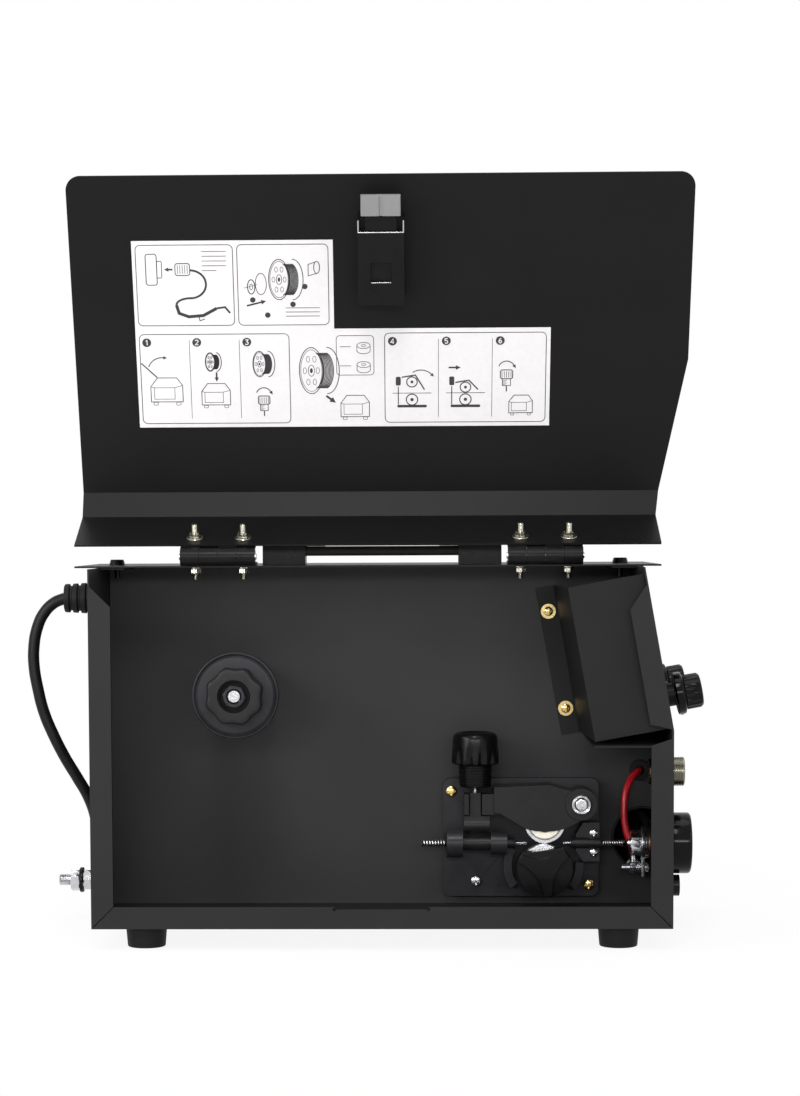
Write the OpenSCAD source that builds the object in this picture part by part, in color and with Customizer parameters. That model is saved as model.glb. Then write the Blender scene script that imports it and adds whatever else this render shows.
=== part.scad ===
// Wire feeder for MIG/MAG welding: a folded sheet-metal case with a swing-up side lid,
// a two-roll wire drive, a spool hub, and the sockets and leads on its two end panels.
// All places are given in the case's own axes: x from the middle of the case, y from its open
// side inwards, z up from the underside of its floor.

/* [Case] */
// Length of the case over its two end panels
case_w = 470; // [464:2:476]
// Depth of the case from its open side to the back of its floor
case_d = 270; // [266:2:276]
// Height of the end panels
case_h = 291; // [289:1:293]
// Thickness of the sheet metal
sheet = 1.5; // [1.2:0.1:1.6]
// Height of the bend in the front end panel
kink_h = 160; // [158:1:162]
// How far the top of the front end panel leans inwards
slant_inset = 23.5; // [22:0.5:25]
// Width of the return flange around the open side
flange_w = 18; // [16:1:20]
// Front face of the mounting wall, from the open side
divider_y = 144; // [142:1:146]
// Height of the rubber feet
foot_h = 18; // [14:1:20]

/* [Lid] */
// How far the lid and the fixed cover stand out past the end panels
overhang = 19; // [17:1:21]
// Hinge axis from the open side
hinge_y = 68; // [68:1:70]
// How far the lid is swung up from closed
lid_angle = 158.4; // [150:0.1:160]
// Distance of the closed lid's inner face in front of the case
lid_standoff = 16.5; // [16:0.5:18]

/* [Wire drive] */
// Height of the wire line
wire_z = 57; // [56:0.5:58]
// Distance of the wire line from the open side
wire_y = 112; // [111:0.5:113]
// Position of the drive shaft along the case
drive_x = 136; // [135:0.5:137]
// Radius of the drive roller
drive_r = 20; // [19.5:0.1:20]
// Radius of the pressure roller
press_r = 17.5; // [17:0.1:17.5]

/* [Spool hub] */
// Position of the hub along the case
hub_x = -119; // [-121:1:-117]
// Height of the hub axis
hub_z = 187.5; // [186:0.5:189]
// Radius of the drum that carries the spool
hub_r = 25; // [24.5:0.1:25.5]

/* [Control cable] */
// Radius of the control cable
cable_r = 5; // [4:0.5:5]

/* [Hidden] */
$fn = 48;
hw = case_w / 2;
seam = 0.4;
slant_deg = atan(slant_inset / (case_h - kink_h));
panel_t = sheet * cos(slant_deg);

// Sheet-metal layout
plate_top = case_h + sheet;
cover_front = hinge_y + 1;
bevel_w = lid_standoff - 0.5;
cover_back = case_d + sheet;

// Hinge: two pairs of leaves, each with four knuckles
hinge_z = plate_top + 7.5;
knuckle_r = 7.4;
hinge_len = 62;
knuckle_len = hinge_len / 4;
knuckle_gap = 0.3;
leaf_t = 3;
pin_r = 2.5;
hinge_x = [-135, 135];
bolt_dx = 20;
lid_under = case_h + 0.3;
lid_edge_y = hinge_y - 5.2;
lid_bolt_y = hinge_y - 20;
fixed_bolt_y = hinge_y + 20;

// Latch, in the closed lid's place
latch_x = 1;
latch_z = 44;
latch_travel = 12;
stem_z = latch_z + 8;

// Places of fasteners and fittings
foot_x = 193;
foot_y = [30, 240];
foot_screw_r = 1.9;
top_screw_x = [-224, 200];
top_screw_y = [120];
back_screw_x = [-150, 0, 150];
back_screw_z = 10;
shield_screw_z = [23, 107];
plate_screw_at = [[58, 99], [175, 19]];
steel_screw_at = [79, 22];
knob_y = [48, 190];
knob_q = 25.4;
remote_z = 117.5;
socket_y = wire_y;
plug_z = 21;
stud_y = 165;
stud_z = 19.5;
stud_tip = -282;
gland_z = 264;
gland_end = -274.5;
gas_y = 205;
gas_z = 120;
notch_x = 222;
notch_z = 58;
notch_r = 27;
grommet_x = 219;
grommet_z = 116;

// Wire drive
plate_front = divider_y - 10;
roller_gap = 0.3;
drive_z = wire_z - roller_gap / 2 - drive_r;
press_z = wire_z + roller_gap / 2 + press_r;
press_x = drive_x + 0.5;
arm_pivot = [166.7, wire_z + 34];
lever_z = wire_z + 15.4;
lever_x = 78;
barrel_z = wire_z + 47.7;
knob_z = barrel_z + 19.6;
cap_r = 23.6;
cap_flat = 15.9;
cap_flat_deg = 97;
cap_base_t = 14.5;

// Spool hub, from the divider to the tip of its bolt
hub_front = 36;
disc_front = 31.2;
spindle_r = 5.5;

// The middle of the outer box in x and y, and the height of the feet, place the origin
knob_tip_x = 266;
origin_x = (stud_tip + knob_tip_x) / 2;
origin_y = (cover_back + 3.5) / 2;

// Route of the control cable from the gland to the floor, and the end that leaves the coil
cable_route = [
    [gland_end, 165, 264], [-284, 165, 260], [-293, 165, 251], [-299, 165, 238], [-302, 165, 222],
    [-302, 165, 205], [-299, 165, 186], [-294, 166, 165], [-286, 167, 145], [-277, 170, 126],
    [-267, 174, 108], [-258, 180, 90], [-253, 190, 70], [-253, 204, 50], [-256, 222, 31],
    [-260, 243, 14], [-262, 266, 0], [-260, 286, -9], [-252, 305, -13], [-240, 324, -13],
    [-230, 344, -13], [-225, 365, -13]
];
coil_at = [-165, 365];
coil_mean_r = 55;
coil_layers = 3;
tail_route = [[-113, 384, 17], [-111, 373, 18], [-111, 362, 20], [-113, 351, 21]];
cable_plug_deg = -105;

// Routes of the leads and the gas hose inside the case
power_route = [
    [-206, 165, 19.5], [-170, 165, 20], [-140, 175, 22], [-110, 200, 34], [-80, 225, 52],
    [-40, 240, 72], [10, 248, 86], [60, 250, 92], [110, 245, 92], [150, 228, 86], [180, 202, 70],
    [198, 180, 57], [208, 166, 51.5], [212.5, 156, 48.5], [214, 148, 44.5], [213.8, 144, 41.8],
    [213, 140.5, 39], [212.3, 137, 36.8], [212, 134, 36]
];
red_route = [
    [219, 165, 116], [219, 155, 116], [219, 147, 116], [218.6, 141.5, 115.8], [215.4, 136.5, 114],
    [210.5, 131.5, 109], [207, 128, 102], [205, 125.5, 93], [204.3, 124, 84], [204.8, 123.3, 74],
    [206.6, 123, 64], [209.4, 123, 56], [211.5, 123, 50], [212, 123, 46]
];
hose_route = [
    [-184, 205, 120], [-150, 205, 120], [-110, 212, 122], [-60, 224, 124], [0, 232, 124],
    [60, 232, 122], [120, 222, 116], [170, 204, 104], [204, 184, 90], [222, 166, 76],
    [228, 153, 63], [228, 145, 57.5], [228, 140, 57.5]
];

// ---- Shared shapes ----

// Moves the case's axes to the part's origin, under the middle of its outer box
module place() translate([-origin_x, -origin_y, foot_h]) children();

module block(x0, x1, y0, y1, z0, z1) translate([x0, y0, z0]) cube([x1 - x0, y1 - y0, z1 - z0]);

module rod_x(x0, x1, r, y, z) translate([x0, y, z]) rotate([0, 90, 0]) cylinder(r = r, h = x1 - x0);

module rod_y(y0, y1, r, x, z) translate([x, y0, z]) rotate([-90, 0, 0]) cylinder(r = r, h = y1 - y0);

module rod_z(z0, z1, r, x, y) translate([x, y, z0]) cylinder(r = r, h = z1 - z0);

module hex_x(x0, x1, flats, y, z)
    translate([x0, y, z]) rotate([0, 90, 0]) cylinder(r = flats / sqrt(3), h = x1 - x0, $fn = 6);

module hex_z(z0, z1, flats, x, y)
    translate([x, y, z0]) cylinder(r = flats / sqrt(3), h = z1 - z0, $fn = 6);

// A shape drawn in x and z, made solid from y0 to y1
module front_plate(y0, y1) translate([0, y1, 0]) rotate([90, 0, 0]) linear_extrude(y1 - y0) children();

// A shape drawn in y and z, made solid from x0 to x1
module side_plate(x0, x1) translate([x0, 0, 0]) rotate([90, 0, 90]) linear_extrude(x1 - x0) children();

// A profile turned about the line through y and z along x, with its height running from x0
module turned_x(x0, y, z) translate([x0, y, z]) rotate([0, 90, 0]) rotate_extrude() children();

// A profile turned about the line through x and z along y, with its height running from y0
module turned_y(y0, x, z) translate([x, y0, z]) rotate([-90, 0, 0]) rotate_extrude() children();

module rounded_rect(x0, x1, z0, z1, r) {
    translate([x0 + r, z0]) square([x1 - x0 - 2 * r, z1 - z0]);
    translate([x0, z0 + r]) square([x1 - x0, z1 - z0 - 2 * r]);
    for (x = [x0 + r, x1 - r], z = [z0 + r, z1 - r]) translate([x, z]) circle(r);
}

// The slanted half of the front panel: x outwards from its face, z up along it from the bend
module on_slant() translate([hw, 0, kink_h]) rotate([0, -slant_deg, 0]) children();

// Swings a shape made in the closed lid's place up to the open rest pose
module lid_open()
    translate([0, hinge_y, hinge_z]) rotate([-lid_angle, 0, 0])
        translate([0, -hinge_y, -hinge_z]) children();

// Outer face of the front end panel at height z
function panel_x(z) = z <= kink_h ? hw : hw - slant_inset * (z - kink_h) / (case_h - kink_h);

// Front view of the lid and of the fixed cover, with two round lower corners
module cover_outline(bottom, top, corner_r) {
    left = -hw - overhang;
    right = hw + overhang;
    difference() {
        polygon([
            [left, bottom], [right, bottom], [right, kink_h],
            [panel_x(top) + overhang, top], [left, top]
        ]);
        for (side = [-1, 1]) {
            corner_x = side * (right - corner_r);
            difference() {
                translate([corner_x + (side < 0 ? -corner_r - 1 : 0), bottom - 1])
                    square(corner_r + 1);
                translate([corner_x, bottom + corner_r]) circle(corner_r);
            }
        }
    }
}

// A tube swept along a list of points, with its rings carried from one to the next untwisted
function unit(v) = v / norm(v);
function heading(points, i) =
    unit(points[min(i + 1, len(points) - 1)] - points[max(min(i, len(points) - 1) - 1, 0)]);
function squared(u, t) = unit(u - (u * t) * t);
function sides_of(points) =
    let (t = heading(points, 0))
    [for (
        i = 0, u = squared(abs(t[2]) > 0.7 ? [0, 1, 0] : [0, 0, 1], t);
        i < len(points);
        i = i + 1, u = squared(u, heading(points, min(i, len(points) - 1)))
    ) u];
module swept_tube(points, r, sides = 10) {
    count = len(points);
    across = sides_of(points);
    rings = [
        for (i = [0:count - 1])
            let (v = cross(heading(points, i), across[i]))
            for (k = [0:sides - 1])
                points[i] + r * (cos(360 * k / sides) * across[i] + sin(360 * k / sides) * v)
    ];
    walls = [
        for (i = [0:count - 2], k = [0:sides - 1])
            let (next = (k + 1) % sides)
            [i * sides + k, (i + 1) * sides + k, (i + 1) * sides + next, i * sides + next]
    ];
    first = [[for (k = [0:sides - 1]) k]];
    last = [[for (k = [sides - 1:-1:0]) (count - 1) * sides + k]];
    polyhedron(points = rings, faces = concat(walls, first, last));
}

// A closed outline whose radius swells and shrinks evenly around its middle
module waved_outline(mean_r, swell, waves, turn = 0, points = 96)
    polygon([
        for (i = [0:points - 1])
            let (a = 360 * i / points, r = mean_r + swell * cos(waves * (a - turn)))
            [r * cos(a), r * sin(a)]
    ]);

// ---- Case ----

// Side view of an end panel, with its back upper corner cut off under the cover's bevel
module panel_side() polygon([
    [0, sheet], [case_d, sheet], [case_d, plate_top - 17.1], [case_d - 15.6, case_h], [0, case_h]
]);

module base_panel() color([0.2, 0.2, 0.21]) place() difference() {
    union() {
        block(-hw, hw, 0, case_d, 0, sheet);
        front_plate(0, sheet) difference() {
            polygon([
                [-hw + sheet + seam, sheet - 0.2], [hw - sheet - seam, sheet - 0.2],
                [hw - flange_w - seam, flange_w], [-hw + flange_w + seam, flange_w]
            ]);
            translate([-38, flange_w - 2]) square([76, 3]);
            for (x = [-38, 38]) translate([x, flange_w - 2]) circle(1.5);
        }
        block(-hw + 20, hw - 20, case_d - sheet, case_d, sheet - 0.2, flange_w);
    }
    for (x = [-foot_x, foot_x], y = foot_y) rod_z(-1, 3, foot_screw_r + 0.05, x, y);
    for (x = back_screw_x) rod_y(case_d - 4, case_d + 1, 2.7, x, back_screw_z);
}

module rear_panel() color([0.2, 0.2, 0.21]) place() difference() {
    union() {
        side_plate(-hw, -hw + sheet) panel_side();
        front_plate(0, sheet) polygon([
            [-hw + sheet - 0.2, sheet + seam], [-hw + flange_w, flange_w + seam],
            [-hw + flange_w, case_h - 30.5], [-hw + sheet - 0.2, case_h - 14]
        ]);
        block(-hw + sheet - 0.2, -213, cover_front + 3, case_d - 20, case_h - sheet, case_h);
    }
    rod_x(-hw - 1, -hw + 3, 9, stud_y, gland_z);
    rod_x(-hw - 1, -hw + 3, 9.1, stud_y, stud_z);
    rod_x(-hw - 1, -hw + 3, 5.2, gas_y, gas_z);
    for (y = top_screw_y) rod_z(case_h - 4, case_h + 1, 2.7, top_screw_x[0], y);
}

module front_panel() color([0.2, 0.2, 0.21]) place() difference() {
    union() {
        intersection() {
            front_plate(0, case_d) polygon([
                [hw - sheet, sheet], [hw, sheet], [hw, kink_h], [hw - slant_inset, case_h],
                [hw - slant_inset - sheet, case_h], [hw - sheet, kink_h]
            ]);
            side_plate(hw - 40, hw + 1) panel_side();
        }
        front_plate(0, sheet) polygon([
            [hw - sheet + 0.2, sheet + seam], [hw - sheet + 0.2, kink_h - 6.5],
            [hw - flange_w, kink_h - 12], [hw - flange_w, flange_w + seam]
        ]);
        front_plate(0, sheet) polygon([
            [panel_x(kink_h + 1) - sheet + 0.2, kink_h + 1],
            [panel_x(case_h - 14) - sheet + 0.2, case_h - 14],
            [panel_x(case_h - 34) - flange_w, case_h - 34],
            [panel_x(kink_h + 5) - flange_w, kink_h + 5]
        ]);
        block(190, hw - slant_inset - 1, cover_front + 3, case_d - 20, case_h - sheet, case_h);
    }
    rod_x(hw - 3, hw + 1, 16, socket_y, wire_z);
    rod_x(hw - 3, hw + 1, 11, socket_y, remote_z);
    rod_x(hw - 3, hw + 1, 8, socket_y, plug_z);
    on_slant() for (y = knob_y) rod_x(-4, 2, 5, y, knob_q);
    for (y = top_screw_y) rod_z(case_h - 4, case_h + 1, 2.7, top_screw_x[1], y);
}

module divider() color([0.22, 0.22, 0.23]) place() {
    left = -hw + sheet + seam;
    right = hw - sheet - seam;
    under_flange = case_h - sheet - seam;
    difference() {
        union() {
            front_plate(divider_y, divider_y + sheet) polygon([
                [left, sheet], [right, sheet], [right, kink_h - 1],
                [panel_x(under_flange) - sheet - seam, under_flange], [190 - seam, under_flange],
                [190 - seam, case_h], [-213 + seam, case_h], [-213 + seam, under_flange],
                [left, under_flange]
            ]);
            block(left + 10, right - 10, divider_y + sheet - 0.2, divider_y + 16, sheet, 2 * sheet);
            block(-213 + seam, 190 - seam, divider_y + sheet - 0.2, divider_y + 16, case_h - sheet, case_h);
        }
        rod_y(divider_y - 1, divider_y + 3, 13.5, drive_x, drive_z);
        rod_y(divider_y - 1, divider_y + 3, spindle_r + 0.1, hub_x, hub_z);
        rod_y(divider_y - 1, divider_y + 3, 7, grommet_x, grommet_z);
        rod_y(divider_y - 1, divider_y + 3, notch_r, notch_x, notch_z);
        for (at = concat(plate_screw_at, [steel_screw_at]))
            rod_y(divider_y - 1, divider_y + 3, 2.6, at[0], at[1]);
        on_slant() for (z = shield_screw_z) rod_y(divider_y - 1, divider_y + 3, 2.1, -76.4, z);
    }
}

module fixed_cover() color([0.17, 0.17, 0.18]) place() difference() {
    intersection() {
        side_plate(-hw - overhang - 1, hw + overhang + 1) polygon([
            [cover_front, plate_top], [case_d - 15, plate_top], [cover_back, plate_top - 16.5],
            [cover_back, 3], [case_d, 3], [case_d, plate_top - 17.1], [case_d - 15.6, case_h],
            [cover_front, case_h]
        ]);
        front_plate(cover_front - 1, cover_back + 1) cover_outline(3, plate_top, 12);
    }
    for (x = top_screw_x, y = top_screw_y) rod_z(case_h - 1, plate_top + 1, 2.7, x, y);
    for (x = back_screw_x) rod_y(case_d - 1, cover_back + 1, 2.7, x, back_screw_z);
    for (x = hinge_x, side = [-1, 1])
        rod_z(case_h - 1, plate_top + 1, 2.6, x + side * bolt_dx, fixed_bolt_y);
    for (side = [-1, 1]) rod_z(case_h - 1, plate_top + 1, 2.6, side * 94, 118);
}

module cover_screws() color([0.1, 0.1, 0.1]) place() {
    for (x = top_screw_x, y = top_screw_y) translate([x, y, plate_top]) difference() {
        union() {
            cylinder(r1 = 7, r2 = 5.5, h = 5);
            translate([0, 0, -11]) cylinder(r = 2.5, h = 12);
        }
        translate([0, 0, 2.5]) cylinder(r = 2.6, h = 3, $fn = 6);
    }
    for (x = back_screw_x) translate([x, cover_back, back_screw_z]) rotate([-90, 0, 0]) difference() {
        union() {
            cylinder(r1 = 7, r2 = 5.5, h = 3.5);
            translate([0, 0, -9]) cylinder(r = 2.5, h = 10);
        }
        translate([0, 0, 1.5]) cylinder(r = 2.6, h = 3, $fn = 6);
    }
}

module rubber_feet() color([0.08, 0.08, 0.08]) place() for (x = [-foot_x, foot_x], y = foot_y)
    translate([x, y, -foot_h]) difference() {
        cylinder(r1 = 15.5, r2 = 17, h = foot_h);
        translate([0, 0, -1]) cylinder(r = 7, h = foot_h - 7);
        translate([0, 0, -1]) cylinder(r = foot_screw_r + 0.05, h = foot_h + 2);
    }

module foot_screws() color([0.75, 0.75, 0.76]) place() for (x = [-foot_x, foot_x], y = foot_y) {
    rod_z(-8, 9, foot_screw_r, x, y);
    difference() {
        rod_z(-11.5, -8, 5.4, x, y);
        translate([x, y, -12]) cylinder(r = 2.3, h = 2, $fn = 6);
    }
    difference() {
        hex_z(sheet, sheet + 4, 7, x, y);
        rod_z(sheet - 1, sheet + 5, foot_screw_r + 0.05, x, y);
    }
}

// ---- Carrying handle ----

module handle_end_caps() color([0.07, 0.07, 0.07]) place() for (side = [0, 1]) mirror([side, 0, 0])
    difference() {
        union() {
            front_plate(104, 132) polygon([
                [64, plate_top], [100, plate_top], [100, plate_top + 18.5], [98.5, plate_top + 20],
                [60, plate_top + 20], [48, plate_top + 17.1], [48, plate_top + 15.7],
                [88, plate_top + 15.7], [88, plate_top + 7.3], [64, plate_top + 7.3]
            ]);
            for (y = [104, 130]) front_plate(y, y + 2) polygon([
                [64, plate_top], [100, plate_top], [100, plate_top + 18.5], [98.5, plate_top + 20],
                [64, plate_top + 20]
            ]);
        }
        rod_z(plate_top - 1, plate_top + 12, 2.6, 94, 118);
    }

module handle_strap() color([0.09, 0.09, 0.09]) place()
    block(-87.5, 87.5, 107, 129, plate_top + 7.5, plate_top + 15.5);

// ---- Hinge ----

// One knuckle of a leaf, joined to its leaf on one side
module knuckle(x, i, side, bore_r, under) {
    from = x - hinge_len / 2 + i * knuckle_len + knuckle_gap / 2;
    to = from + knuckle_len - knuckle_gap;
    difference() {
        union() {
            rod_x(from, to, knuckle_r, hinge_y, hinge_z);
            block(
                from, to, hinge_y + min(0, 8.5 * side), hinge_y + max(0, 8.5 * side),
                under, under + leaf_t
            );
            children();
        }
        rod_x(from - 1, to + 1, bore_r, hinge_y, hinge_z);
    }
}

module hinge_fixed_leaves() color([0.1, 0.1, 0.1]) place() for (x = hinge_x) difference() {
    union() {
        block(
            x - hinge_len / 2, x + hinge_len / 2, hinge_y + 8, hinge_y + 32,
            plate_top, plate_top + leaf_t
        );
        for (i = [1, 3]) knuckle(x, i, 1, pin_r + 0.05, plate_top);
    }
    for (side = [-1, 1]) rod_z(plate_top - 1, plate_top + 5, 2.6, x + side * bolt_dx, fixed_bolt_y);
}

// The heel of each lid knuckle comes down on the fixed leaf and stops the open lid
module hinge_lid_leaves() color([0.1, 0.1, 0.1]) place() lid_open() for (x = hinge_x) difference() {
    union() {
        block(
            x - hinge_len / 2, x + hinge_len / 2, hinge_y - 32, hinge_y - 8,
            lid_under + sheet, lid_under + sheet + leaf_t
        );
        for (i = [0, 2]) knuckle(x, i, -1, pin_r + 0.08, lid_under + sheet)
            translate([0, hinge_y, hinge_z]) rotate([lid_angle, 0, 0])
                block(
                    x - hinge_len / 2 + i * knuckle_len + knuckle_gap / 2,
                    x - hinge_len / 2 + (i + 1) * knuckle_len - knuckle_gap / 2,
                    4, 11, -4.35, -0.7
                );
    }
    for (side = [-1, 1]) rod_z(lid_under, lid_under + 6, 2.6, x + side * bolt_dx, lid_bolt_y);
}

module hinge_pins() color([0.7, 0.7, 0.71]) place() for (x = hinge_x)
    rod_x(x - hinge_len / 2 - 1, x + hinge_len / 2 + 1, pin_r, hinge_y, hinge_z);

// A button-head bolt down through a leaf and a sheet, with a washer and a nut below the sheet
module hinge_bolt(x, y, head_z, sheet_under, tip) {
    difference() {
        union() {
            rod_z(head_z, head_z + 3, 4.6, x, y);
            rod_z(tip, head_z + 1, 2.5, x, y);
        }
        translate([x, y, head_z + 1.3]) cylinder(r = 1.8, h = 2, $fn = 6);
    }
    difference() {
        union() {
            rod_z(sheet_under - 1, sheet_under, 5.5, x, y);
            hex_z(sheet_under - 5, sheet_under - 1, 8, x, y);
        }
        rod_z(sheet_under - 6, sheet_under + 1, 2.55, x, y);
    }
}

module hinge_fixed_bolts() color([0.72, 0.72, 0.73]) place()
    for (x = hinge_x, side = [-1, 1])
        hinge_bolt(x + side * bolt_dx, fixed_bolt_y, plate_top + leaf_t, case_h, case_h - 10);

module hinge_lid_bolts() color([0.72, 0.72, 0.73]) place() lid_open()
    for (x = hinge_x, side = [-1, 1])
        hinge_bolt(x + side * bolt_dx, lid_bolt_y, lid_under + sheet + leaf_t, lid_under, case_h - 12);

// ---- Lid and latch, drawn in the closed lid's place ----

module lid_panel() color([0.12, 0.12, 0.13]) place() lid_open() difference() {
    intersection() {
        side_plate(-hw - overhang - 1, hw + overhang + 1) polygon([
            [lid_edge_y, lid_under], [-0.5, lid_under], [-lid_standoff, lid_under - bevel_w],
            [-lid_standoff, 3.3], [-lid_standoff - sheet, 3.3],
            [-lid_standoff - sheet, lid_under - bevel_w + 0.6], [-1.1, lid_under + sheet],
            [lid_edge_y, lid_under + sheet]
        ]);
        front_plate(-lid_standoff - 4, lid_edge_y + 1) cover_outline(3.3, lid_under + sheet, 12);
    }
    for (x = hinge_x, side = [-1, 1])
        rod_z(lid_under - 1, lid_under + 3, 2.6, x + side * bolt_dx, lid_bolt_y);
    block(
        latch_x - 4.4, latch_x + 4.4, -lid_standoff - 3, -lid_standoff + 1,
        stem_z - 0.8, stem_z + 8.8 + latch_travel
    );
}

module instruction_label() color([0.8, 0.81, 0.82]) place() lid_open()
    front_plate(-lid_standoff, -lid_standoff + 0.4) polygon([
        [-203, 57], [-38.5, 57], [-38.5, 132], [140, 132], [140, 217], [-203, 217]
    ]);

// A cast block with two cheeks that the bolt slides between, and a channel for its tongue
module latch_body() color([0.09, 0.09, 0.09]) place() lid_open() difference() {
    union() {
        block(latch_x - 18.8, latch_x + 18.8, -lid_standoff, 8.5, latch_z, latch_z + 61);
        block(latch_x - 18.8, latch_x + 18.8, -lid_standoff, 1.6, latch_z - 9.6, latch_z + 0.1);
        for (side = [-1, 1]) block(
            latch_x + side * 17.8 - 1, latch_x + side * 17.8 + 1, -lid_standoff, 8.5,
            latch_z - 9.6, latch_z + 0.1
        );
    }
    block(latch_x - 13.4, latch_x + 13.4, 2, 6.4, latch_z - 1, latch_z + 58);
    block(latch_x - 8.4, latch_x + 8.4, 6, 10, latch_z + 25.6, latch_z + 41.6);
    block(latch_x - 4.4, latch_x + 4.4, -lid_standoff - 1, 3, stem_z - 0.8, stem_z + 8.8 + latch_travel);
}

// The sprung bolt, its tongue inside the body, and the finger pull outside the lid
module latch_bolt() color([0.35, 0.35, 0.36]) place() lid_open() {
    difference() {
        block(latch_x - 16.1, latch_x + 16.1, 2.2, 8.2, latch_z - 29.3, latch_z - 12.5);
        block(latch_x - 1, latch_x + 1, 7, 9, latch_z - 30, latch_z - 12);
    }
    block(latch_x - 13, latch_x + 13, 2.2, 6, latch_z - 12.6, latch_z + 45.6);
    block(latch_x - 4, latch_x + 4, -lid_standoff - 2, 2.3, stem_z, stem_z + 8);
    block(latch_x - 10, latch_x + 10, -24, -lid_standoff - 1.8, stem_z - 8, stem_z + 16);
}

// ---- Controls ----

module control_shield() color([0.2, 0.2, 0.21]) place() {
    on_slant() difference() {
        translate([0, 0, 1.4]) linear_extrude(126.3) polygon([
            [-84, divider_y], [-84, divider_y - sheet], [-68.4, divider_y - sheet], [-63, 12],
            [-1.8, 12], [-1.8, 12 + sheet], [-61.6, 12 + sheet], [-66.9, divider_y]
        ]);
        for (z = shield_screw_z) rod_y(divider_y - 3, divider_y + 1, 2.1, -76.4, z);
    }
    block(171, hw - sheet, sheet, divider_y, kink_h - 13.7, kink_h - 12.2);
}

// A round screw head with a cross recess, facing the open side
module cross_head(x, z, back, r, thick) difference() {
    rod_y(back - thick, back, r, x, z);
    block(x - 0.5 * r, x + 0.5 * r, back - thick - 1, back - thick + 1, z - 0.14 * r, z + 0.14 * r);
    block(x - 0.14 * r, x + 0.14 * r, back - thick - 1, back - thick + 1, z - 0.5 * r, z + 0.5 * r);
}

module brass_screws() color([0.78, 0.62, 0.3]) place() {
    on_slant() for (z = shield_screw_z) {
        cross_head(-76.4, z, divider_y - sheet, 4, 2.2);
        rod_y(divider_y - sheet, divider_y + 6, 2, -76.4, z);
    }
    for (at = plate_screw_at) {
        cross_head(at[0], at[1], plate_front, 5, 3);
        rod_y(plate_front, divider_y + 6, 2.5, at[0], at[1]);
    }
}

module steel_screws() color([0.78, 0.78, 0.8]) place() {
    cross_head(steel_screw_at[0], steel_screw_at[1], plate_front, 4.6, 2.6);
    rod_y(plate_front, divider_y + 6, 2.5, steel_screw_at[0], steel_screw_at[1]);
    for (z = [-8.3, 8.3]) {
        cross_head(178, wire_z + z, wire_y + 2, 3.7, 3.4);
        rod_y(wire_y + 2, wire_y + 16, 1.9, 178, wire_z + z);
    }
}

module control_board() color([0.1, 0.35, 0.2]) place() on_slant() {
    difference() {
        block(-22, -20.4, 24, 136, 8, 120);
        for (y = [30, 130], z = [14, 114]) rod_x(-23, -19, 1.6, y, z);
    }
    for (y = [30, 130], z = [14, 114]) {
        difference() {
            hex_x(-20.4, -panel_t, 6, y, z);
            rod_x(-21, -14, 1.6, y, z);
        }
        rod_x(-24.5, -22, 2.8, y, z);
        rod_x(-22.2, -15, 1.5, y, z);
    }
    block(-34, -22, 40, 62, 86, 110);
    block(-30, -22, 74, 100, 84, 96);
    block(-38, -22, 108, 124, 30, 60);
    for (y = [52, 66, 80]) rod_x(-40, -22, 5, y, 40);
    for (z = [66, 72]) block(-25, -22, 50, 90, z, z + 4);
}

module potentiometers() color([0.5, 0.5, 0.5]) place() on_slant() for (y = knob_y) {
    difference() {
        union() {
            rod_x(-14, -panel_t, 11, y, knob_q);
            rod_x(-2, 7, 4.5, y, knob_q);
            block(-12, -7, y - 8, y + 8, knob_q - 16, knob_q - 6);
        }
        rod_x(-12.5, 8, 3.05, y, knob_q);
    }
    difference() {
        rod_x(0, 9, 12, y, knob_q);
        rod_x(-1, 10, 8.4, y, knob_q);
    }
    difference() {
        hex_x(0, 3, 14, y, knob_q);
        rod_x(-1, 4, 4.55, y, knob_q);
    }
}

module turning_knob(y) on_slant() translate([0, y, knob_q]) rotate([0, 90, 0]) difference() {
    union() {
        translate([0, 0, -12]) cylinder(r = 3, h = 24);
        translate([0, 0, 10]) cylinder(r = 17.3, h = 5.5);
        translate([0, 0, 15.5]) cylinder(r1 = 17.3, r2 = 16, h = 1.6);
        translate([0, 0, 17]) linear_extrude(15) waved_outline(15.3, 0.45, 24);
        translate([0, 0, 32]) cylinder(r1 = 14.6, r2 = 13.8, h = 1);
    }
    translate([-15.5, -0.6, 32.4]) cube([12, 1.2, 1]);
}

module voltage_knob() color([0.08, 0.08, 0.09]) place() turning_knob(knob_y[0]);

module current_knob() color([0.08, 0.08, 0.09]) place() turning_knob(knob_y[1]);

module remote_socket() color([0.72, 0.72, 0.74]) place() {
    difference() {
        union() {
            rod_x(hw, hw + 4, 13.5, socket_y, remote_z);
            rod_x(hw + 3, hw + 18.6, 12.2, socket_y, remote_z);
            rod_x(hw - 11, hw + 1, 10.9, socket_y, remote_z);
        }
        rod_x(hw + 6.6, hw + 20, 10, socket_y, remote_z);
    }
    difference() {
        hex_x(hw - sheet - 4, hw - sheet, 27, socket_y, remote_z);
        rod_x(hw - 8, hw, 11, socket_y, remote_z);
    }
    for (a = [0:72:288])
        rod_x(hw + 6.6, hw + 13, 1.2, socket_y + 5.6 * cos(a + 90), remote_z + 5.6 * sin(a + 90));
}

// ---- Torch socket, current lug and plug ----

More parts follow.
